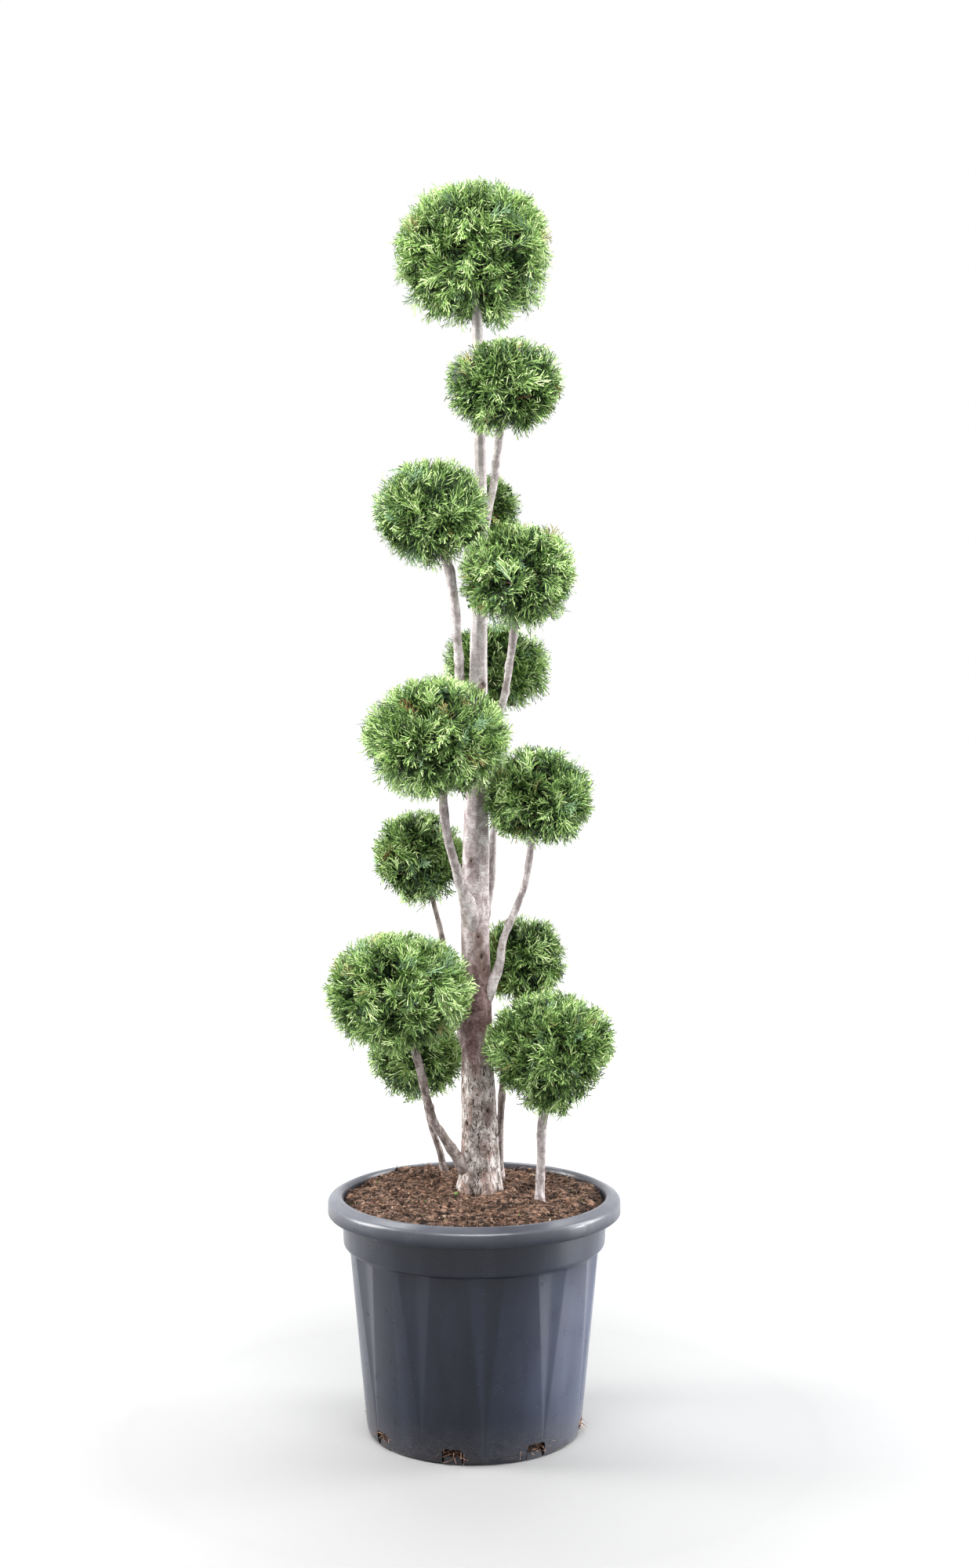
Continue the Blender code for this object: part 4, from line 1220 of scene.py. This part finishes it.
def pot_profile():
    """Radii and heights: up the inside, over the rolled rim, down the outside and in along the underside."""
    top = POT_HEIGHT
    return [
        (0.020, FLOOR),
        (BODY_FOOT_RADIUS - WALL - 0.006, FLOOR),
        (BODY_FOOT_RADIUS - WALL, FLOOR + 0.010),
        (BODY_TOP_RADIUS - WALL, BAND_FOOT - 0.006),
        (BAND_RADIUS - WALL, BAND_FOOT + 0.002),
        (BAND_RADIUS, top - 0.006),
        (BAND_RADIUS + 0.003, top - 0.001),
        (BAND_RADIUS + 0.008, top),
        (RIM_RADIUS - 0.0025, top - 0.0060),
        (RIM_RADIUS, top - 0.0095),
        (RIM_RADIUS, top - RIM_DEPTH + 0.002),
        (RIM_RADIUS - 0.003, top - RIM_DEPTH),
        (RIM_RADIUS - 0.003, top - 0.007),
        (BAND_RADIUS + 0.003, top - 0.008),
        (BAND_RADIUS, BAND_FOOT),
        (BODY_TOP_RADIUS, BAND_FOOT - 0.007),
        (BODY_FOOT_RADIUS, 0.012),
        (BODY_FOOT_RADIUS - 0.002, 0.004),
        (BODY_FOOT_RADIUS - 0.006, 0.0),
        (0.020, 0.0),
    ]


def rounded(profile, offset, row_height):
    """The profile with its corners eased and its long runs cut into rows."""
    points = np.array(profile)
    eased = [points[0]]
    for before, corner, after in zip(points, points[1:], points[2:]):
        back, ahead = before - corner, after - corner
        reach = min(offset, 0.45 * np.linalg.norm(back), 0.45 * np.linalg.norm(ahead))
        start, end = corner + reach * unit(back), corner + reach * unit(ahead)
        for t in (0.0, 0.25, 0.5, 0.75, 1.0):
            eased.append((1 - t) ** 2 * start + 2 * t * (1 - t) * corner + t ** 2 * end)
    eased.append(points[-1])
    rows = []
    for start, end in zip(eased, eased[1:]):
        count = max(1, round(np.linalg.norm(end - start) / row_height))
        rows += [start + (end - start) * i / count for i in range(count)]
    return np.array(rows + [eased[-1]])


def flute_columns(height):
    """Each column's turn at a height, and its radius as a share: hollow wedges that narrow to the foot."""
    inside = np.array((-1.0, -0.90, -0.45, -0.12, 0.12, 0.45, 0.90))
    outside = np.array((0.0, 0.04, 0.2, 0.4, 0.6, 0.8, 0.96))
    half_sector = math.pi / FLUTES
    share = np.clip((height - FLUTE_FOOT) / (BAND_FOOT - 0.007 - FLUTE_FOOT), 0.02, 1.0)
    half = FLUTE_HALF_ANGLE * share
    offsets = np.concatenate((inside * half, half + outside * 2 * (half_sector - half)))
    in_flute = np.abs(offsets) <= half * 1.0001
    dip = FLUTE_DIP / BODY_TOP_RADIUS * share * (1 - np.abs(offsets) / half)
    cut = np.where(in_flute, np.cos(half) / np.cos(offsets) - dip, 1.0)
    sectors = FLUTE_TURN + np.arange(FLUTES) * 2 * half_sector
    turns = (sectors[:, None] + offsets[None]).ravel()
    return turns, np.tile(cut, FLUTES)


def notch_turn(number):
    return NOTCH_TURN + math.tau * number / NOTCHES


def notch_cutter(number):
    """A round-cornered block that stands across the foot of the wall at a drain notch."""
    bm = bmesh.new()
    bmesh.ops.create_cube(bm, size=1.0)
    radial = 2 * (BODY_FOOT_RADIUS - NOTCH_INNER_RADIUS)
    bmesh.ops.scale(bm, vec=(NOTCH_WIDTH, radial, 2 * NOTCH_HEIGHT), verts=bm.verts)
    long_edges = [edge for edge in bm.edges if abs((edge.verts[0].co - edge.verts[1].co).y) > radial / 2]
    bmesh.ops.bevel(bm, geom=long_edges, offset=NOTCH_CORNER, segments=4, affect="EDGES", profile=0.5)
    turn = Matrix.Rotation(notch_turn(number), 4, "Z")
    bm.transform(turn @ Matrix.Translation((0, -BODY_FOOT_RADIUS, 0)))
    mesh = bpy.data.meshes.new(f"notch_{number}")
    bm.to_mesh(mesh)
    bm.free()
    return bpy.data.objects.new(mesh.name, mesh)


def cut_notches(pot):
    cutters = bpy.data.collections.new("notch_cutters")
    bpy.context.scene.collection.children.link(cutters)
    for number in range(NOTCHES):
        cutters.objects.link(notch_cutter(number))
    cut = pot.modifiers.new("Notches", "BOOLEAN")
    cut.operation = "DIFFERENCE"
    cut.operand_type = "COLLECTION"
    cut.collection = cutters
    bpy.context.view_layer.update()
    pot.data = bpy.data.meshes.new_from_object(pot.evaluated_get(bpy.context.evaluated_depsgraph_get()))
    pot.modifiers.clear()
    for cutter in list(cutters.objects):
        bpy.data.objects.remove(cutter)
    bpy.data.collections.remove(cutters)


def make_pot(material):
    """The turned shell with its flutes, cut by the drain notches."""
    rings = []
    for radius, height in rounded(pot_profile(), CORNER_EASE, POT_ROW_HEIGHT):
        turns, cut = flute_columns(height)
        if not 0.008 < height < BAND_FOOT - 0.004:
            cut = np.ones_like(cut)
        rings.append((radius * cut)[:, None] * level_ways(turns) + height * UP)
    points, faces = capped_grid(np.array(rings))
    pot = add_piece("pot_shell", points, faces, [material], "pot", ["pot"])
    cut_notches(pot)
    pot.data.materials.clear()
    pot.data.materials.append(material)
    pot.data.shade_smooth()
    pot.data.set_sharp_from_angle(angle=SHARP_ANGLE)


def make_notch_tabs(material):
    """The low inner step of the pot that stands a little way in behind each drain notch."""
    half = (NOTCH_WIDTH / 2 - TAB_GAP) / TAB_RADIUS
    inner, foot = TAB_RADIUS - TAB_WALL, 0.0005
    corners = ((inner, foot), (inner, TAB_HEIGHT), (TAB_RADIUS, TAB_HEIGHT), (TAB_RADIUS, foot))
    tabs = []
    for number in range(NOTCHES):
        ways = level_ways(notch_turn(number) + np.linspace(-half, half, TAB_COLUMNS))
        tabs.append(capped_grid(np.array([[radius * way + z * UP for radius, z in corners] for way in ways])))
    points, faces = merged(tabs)
    add_piece("notch_tabs", points, faces, [material], "pot", smooth=False)


# Soil

def clod_rise(places):
    """How far the clods lift or sink the soil's top at each place."""
    return CLOD_DEPTH * noise_field(places * (1, 1, 0), CLOD_SIZE, 31)


def make_soil(material):
    """The peat from its lumpy top, down inside the wall, to the pot's floor."""
    radii = np.linspace(0.004, SOIL_EDGE, SOIL_RINGS)
    turns = np.arange(SOIL_COLUMNS) * math.tau / SOIL_COLUMNS
    x = radii[:, None] * np.cos(turns)
    y = radii[:, None] * np.sin(turns)
    top = np.stack((x, y, soil_height(x, y)), -1)
    flat = top * (1, 1, 0)
    lumps = noise_field(flat, LUMP_SIZE, 32)
    cracks = crack_field(flat + 0.004 * lumps[..., None], 0.012, 0.5, 33)
    near_wall = smoothstep(0.160, SOIL_EDGE, radii)[:, None]
    near_wall = near_wall * smoothstep(-0.1, 0.6, noise_field(flat, 0.05, 34))
    rise = clod_rise(top) + LUMP_DEPTH * lumps + CRACK_DEPTH * (cracks - 0.6) - WALL_GAP_DEPTH * near_wall
    top[..., 2] += rise
    foot_rows = [(BODY_FOOT_RADIUS - PEAT_SETBACK + PEAT_FLARE * z / BAND_FOOT, z) for z in PEAT_ROWS]
    side_rows = [
        (BAND_RADIUS - WALL - 0.0006, BAND_FOOT + 0.010),
        (BODY_TOP_RADIUS - WALL - SOIL_INSET, BAND_FOOT - 0.008),
        *foot_rows,
        (BODY_FOOT_RADIUS - WALL - 0.008, FLOOR + 0.0006),
        (0.05, FLOOR + 0.0006),
    ]
    sides = []
    for radius, height in side_rows:
        ring = np.stack((radius * np.cos(turns), radius * np.sin(turns), np.full_like(turns, height)), -1)
        inward = 0.0025 * np.abs(noise_field(ring, 0.006, 35)) * (height > 0.01)
        sides.append(ring * (1 - inward[:, None] / radius * (1, 1, 0)))
    points, faces = capped_grid(np.concatenate((top, np.array(sides))))
    piece = add_piece("soil_bed", points, faces[:, ::-1], [material], "soil", ["soil"])
    # relief_shade: lower in the peat's low places and on its sides, for painted shade
    relief_shade = np.append(np.clip(0.62 + 160 * rise, 0, 1), np.full(len(sides) * SOIL_COLUMNS, SIDE_SHADE))
    add_values(piece, "relief_shade", relief_shade, SIDE_SHADE)


def soil_places(count, chance, edge):
    """Random places on the soil's top, clear of trunk and stems."""
    radius = edge * np.sqrt(chance.random(3 * count))
    turn = chance.uniform(0, math.tau, 3 * count)
    x, y = radius * np.cos(turn), radius * np.sin(turn)
    middle, trunk_radius = trunk_at(TRUNK_STATIONS[0][0])
    clear = np.hypot(x - middle[0], y - middle[1]) > trunk_radius + 0.004
    for name, (start, foot_radius, _, _) in LIMBS.items():
        if is_stem(name):
            clear &= np.hypot(x - start[0], y - start[1]) > foot_radius + 0.003
    x, y = x[clear][:count], y[clear][:count]
    return np.stack((x, y, soil_height(x, y)), -1)


def turns_of(count, chance):
    """Random rotation matrices."""
    first = unit(chance.normal(size=(count, 3)))
    second = unit(np.cross(first, chance.normal(size=(count, 3))))
    return np.stack((first, second, np.cross(first, second)), axis=1)


def lump_mesh(places, sizes, flatness, chance):
    """Irregular twenty-sided crumbs."""
    bm = bmesh.new()
    bmesh.ops.create_icosphere(bm, subdivisions=1, radius=1.0)
    ball = np.array([vertex.co for vertex in bm.verts])
    one = np.array([[vertex.index for vertex in face.verts] for face in bm.faces])
    bm.free()
    count = len(places)
    shape = ball[None] * chance.uniform(0.50, 1.40, (count, len(ball), 1))
    shape = shape * chance.uniform(0.5, 1.5, (count, 1, 3)) * np.array((1, 1, flatness))
    shape = np.einsum("nkc,ncd->nkd", shape, turns_of(count, chance))
    points = places[:, None] + sizes[:, None, None] * shape
    faces = one[None] + (np.arange(count) * len(ball))[:, None, None]
    return points.reshape(-1, 3), faces.reshape(-1, 3), len(one)


def make_crumbs(browns, chance):
    """Crumbs of peat on the soil, in clumps of darker and paler ones."""
    places = soil_places(CRUMBS, chance, SOIL_EDGE - 0.004)
    sizes = CRUMB_SIZE + CRUMB_SIZE_SPREAD * chance.random(len(places)) ** 3
    clumps = noise_field(places, 0.02, 41)
    places[:, 2] += clod_rise(places) + 0.25 * sizes
    points, faces, each = lump_mesh(places, sizes, 0.8, chance)
    tone = np.clip(np.round(1.45 + 3.0 * clumps + chance.normal(0, 0.9, len(places))), 0, 3)
    add_piece("soil_crumbs", points, faces, browns, "soil", slots=np.repeat(tone, each), smooth=False)


def make_chips(materials, chance):
    """Flat chips of bark and a few green scraps on the soil."""
    places = soil_places(CHIPS, chance, SOIL_EDGE - 0.006)
    places[:, 2] += 0.0024 + clod_rise(places)
    sizes = chance.uniform(*CHIP_SIZE, len(places))
    points, faces, each = lump_mesh(places, sizes, 0.35, chance)
    slots = np.repeat(chance.choice(3, len(places), p=CHIP_SHARES), each)
    add_piece("soil_chips", points, faces, materials, "soil", slots=slots)


def notch_roots(number, chance):
    """Roots that show and hang in a drain notch."""
    count = ROOTS_PER_NOTCH
    turn = notch_turn(number) + chance.uniform(-0.5, 0.5, count) * NOTCH_WIDTH / BODY_FOOT_RADIUS
    height = chance.uniform(TAB_HEIGHT, NOTCH_HEIGHT - 0.002, count)
    outward = level_ways(turn)
    starts = outward * (BODY_FOOT_RADIUS - PEAT_SETBACK) + height[:, None] * UP
    across = np.cross(outward, UP)
    sway = chance.normal(0, 0.007, (count, 1))
    middles = starts + ROOT_REACH * outward + sway * across + chance.normal(0, 0.004, (count, 1)) * UP
    middles[:, 2] = np.clip(middles[:, 2], 0.003, None)
    hang = chance.random((count, 1)) ** 3
    ends = middles + (0.001 + 0.010 * hang) * outward + 0.6 * sway * across - ROOT_HANG * hang * UP
    ends[:, 2] = np.clip(ends[:, 2], 0.0008, None)
    thick = chance.uniform(*ROOT_RADIUS, count)
    return [prisms(starts, middles, thick, thick, 3), prisms(middles, ends, thick, 0.5 * thick, 3)]


def make_fibres(browns, chance):
    """Peat fibres that lie on the soil, and roots in the drain notches."""
    places = soil_places(FIBRES, chance, SOIL_EDGE - 0.010)
    places[:, 2] += 0.0016 + clod_rise(places)
    turn = chance.uniform(0, math.tau, len(places))
    length = (FIBRE_LENGTH + FIBRE_LENGTH_SPREAD * chance.random(len(places)) ** 2.2)[:, None]
    run = np.stack((np.cos(turn), np.sin(turn), chance.normal(0.05, 0.16, len(places))), -1) * length / 2
    bend = chance.normal(0, 0.28, (len(places), 3)) * (1, 1, 0.4) * length
    middles, ends = places + run, places + 2 * run + bend
    radii = chance.uniform(*FIBRE_RADIUS, len(places))
    parts = [prisms(places, middles, 0.7 * radii, radii, 3), prisms(middles, ends, radii, 0.4 * radii, 3)]
    for number in range(NOTCHES):
        parts += notch_roots(number, chance)
    points, faces = merged(parts)
    slots = np.repeat(chance.choice(5, len(faces) // 6, p=FIBRE_SHARES), 6)
    add_piece("soil_fibres", points, faces, browns, "soil", slots=slots)


# Stage, lights and camera

def make_floor():
    """A matt disc that brightens away from the pot, so that it meets the backdrop without an edge."""
    bm = bmesh.new()
    bmesh.ops.create_circle(bm, cap_ends=True, segments=96, radius=FLOOR_RADIUS)
    bm.transform(Matrix.Translation((0, 0, -0.0004)))
    mesh = bpy.data.meshes.new("floor")
    bm.to_mesh(mesh)
    bm.free()
    grey = (FLOOR_SHADE, FLOOR_SHADE, FLOOR_SHADE, 1.0)
    pale = Shader("floor", Base_Color=grey, Emission_Color=WHITE, Roughness=0.85, Specular_IOR_Level=0.1)
    away = pale.node("VectorMath", {0: pale.place()}, operation="LENGTH").outputs["Value"]
    glow = pale.fade(away, FLOOR_GLOW_FROM, FLOOR_GLOW_TO, 0.0, FLOOR_GLOW)
    pale.feed(pale.surface["Emission Strength"], glow)
    mesh.materials.append(pale.material)
    floor = add_object("floor", mesh)


def add_light(name, place, target, size, watts, spread, colour):
    light = bpy.data.lights.new(name, "AREA")
    light.shape = "RECTANGLE"
    light.size, light.size_y = size
    light.energy = watts
    light.spread = math.radians(spread)
    light.color = colour
    lamp = add_object(name, light)
    lamp.location = place
    lamp.rotation_euler = (Vector(target) - Vector(place)).to_track_quat("-Z", "Y").to_euler()


def make_lights():
    """A white backdrop, a room that is dimmer in front, and the softboxes."""
    world = bpy.data.worlds.new("studio")
    world.use_nodes = True
    studio = Nodes(world.node_tree)
    seen = studio.tree.nodes["Background"]
    seen.inputs["Color"].default_value = WHITE
    way = studio.node("SeparateXYZ", {"Vector": studio.node("TexCoord").outputs["Generated"]})
    strength = studio.fade(way.outputs["Y"], -0.3, 0.7, ROOM_FRONT, ROOM_BACK)
    room = studio.node("Background", {"Color": ROOM_COLOUR, "Strength": strength})
    blend = studio.node("MixShader", {
        0: studio.node("LightPath").outputs["Is Camera Ray"],
        1: room.outputs["Background"],
        2: seen.outputs["Background"],
    })
    studio.feed(studio.tree.nodes["World Output"].inputs["Surface"], blend.outputs["Shader"])
    bpy.context.scene.world = world
    bpy.context.scene.view_settings.view_transform = "Standard"
    for name, softbox in SOFTBOXES.items():
        add_light(name, *softbox)


def make_camera():
    """A level camera in front, framed on the plant by shift."""
    data = bpy.data.cameras.new("camera")
    data.sensor_fit = "VERTICAL"
    data.sensor_height = CAMERA_SENSOR
    data.lens = CAMERA_LENS
    data.shift_y = CAMERA_SHIFT
    data.clip_start = 0.1
    camera = add_object("camera", data)
    camera.location = CAMERA_PLACE
    camera.rotation_euler = (math.radians(90), 0, 0)
    bpy.context.scene.camera = camera


def make_plant():
    make_trunk(trunk_material())
    pale = limb_material("pale_bark", *PALE_BARK)
    brown = limb_material("brown_bark", *BROWN_BARK)
    for name in LIMBS:
        make_limb(name, brown if name in BROWN_LIMBS else pale)
    limb_routes = {name: limb_route(name, ROUTE_STEP) for name in LIMBS}
    routes = [trunk_at(np.arange(TRUNK_STATIONS[0][0], ROUTE_TOP, 0.02)), *limb_routes.values()]
    tips = {ball_of(name): places[-1] for name, (places, _) in limb_routes.items()}
    tips["ball_01"] = trunk_tip()
    greens = [plain_material(f"leaf_{i}", colour, 0.55, 0.35) for i, colour in enumerate(LEAF_GREENS)]
    greens += [plain_material(name, *look) for name, (*look, _) in ODD_LEAVES.items()]
    twig = plain_material("twig", TWIG_BROWN, 0.80, 0.2)
    chance = np.random.default_rng(SPRAY_SEED)
    kinds = [spray_kind(chance) for _ in range(SPRAY_KINDS)]
    for ball in BALLS:
        make_foliage(ball, routes, tips[ball], kinds, greens, twig)


def make_pot_and_soil():
    plastic = pot_material()
    make_pot(plastic)
    make_notch_tabs(plastic)
    make_soil(soil_material())
    browns = [plain_material(f"peat_{i}", colour, 0.95, 0.15) for i, colour in enumerate(PEAT_BROWNS)]
    pale = plain_material("chip_pale", CHIP_PALE, 0.90, 0.2)
    green = plain_material("chip_green", CHIP_GREEN, 0.80, 0.2)
    chance = np.random.default_rng(CRUMB_SEED)
    make_crumbs(browns, chance)
    make_chips([pale, browns[4], green], chance)
    make_fibres(browns, np.random.default_rng(FIBRE_SEED))


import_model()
make_camera()
make_lights()
make_floor()
make_plant()
make_pot_and_soil()
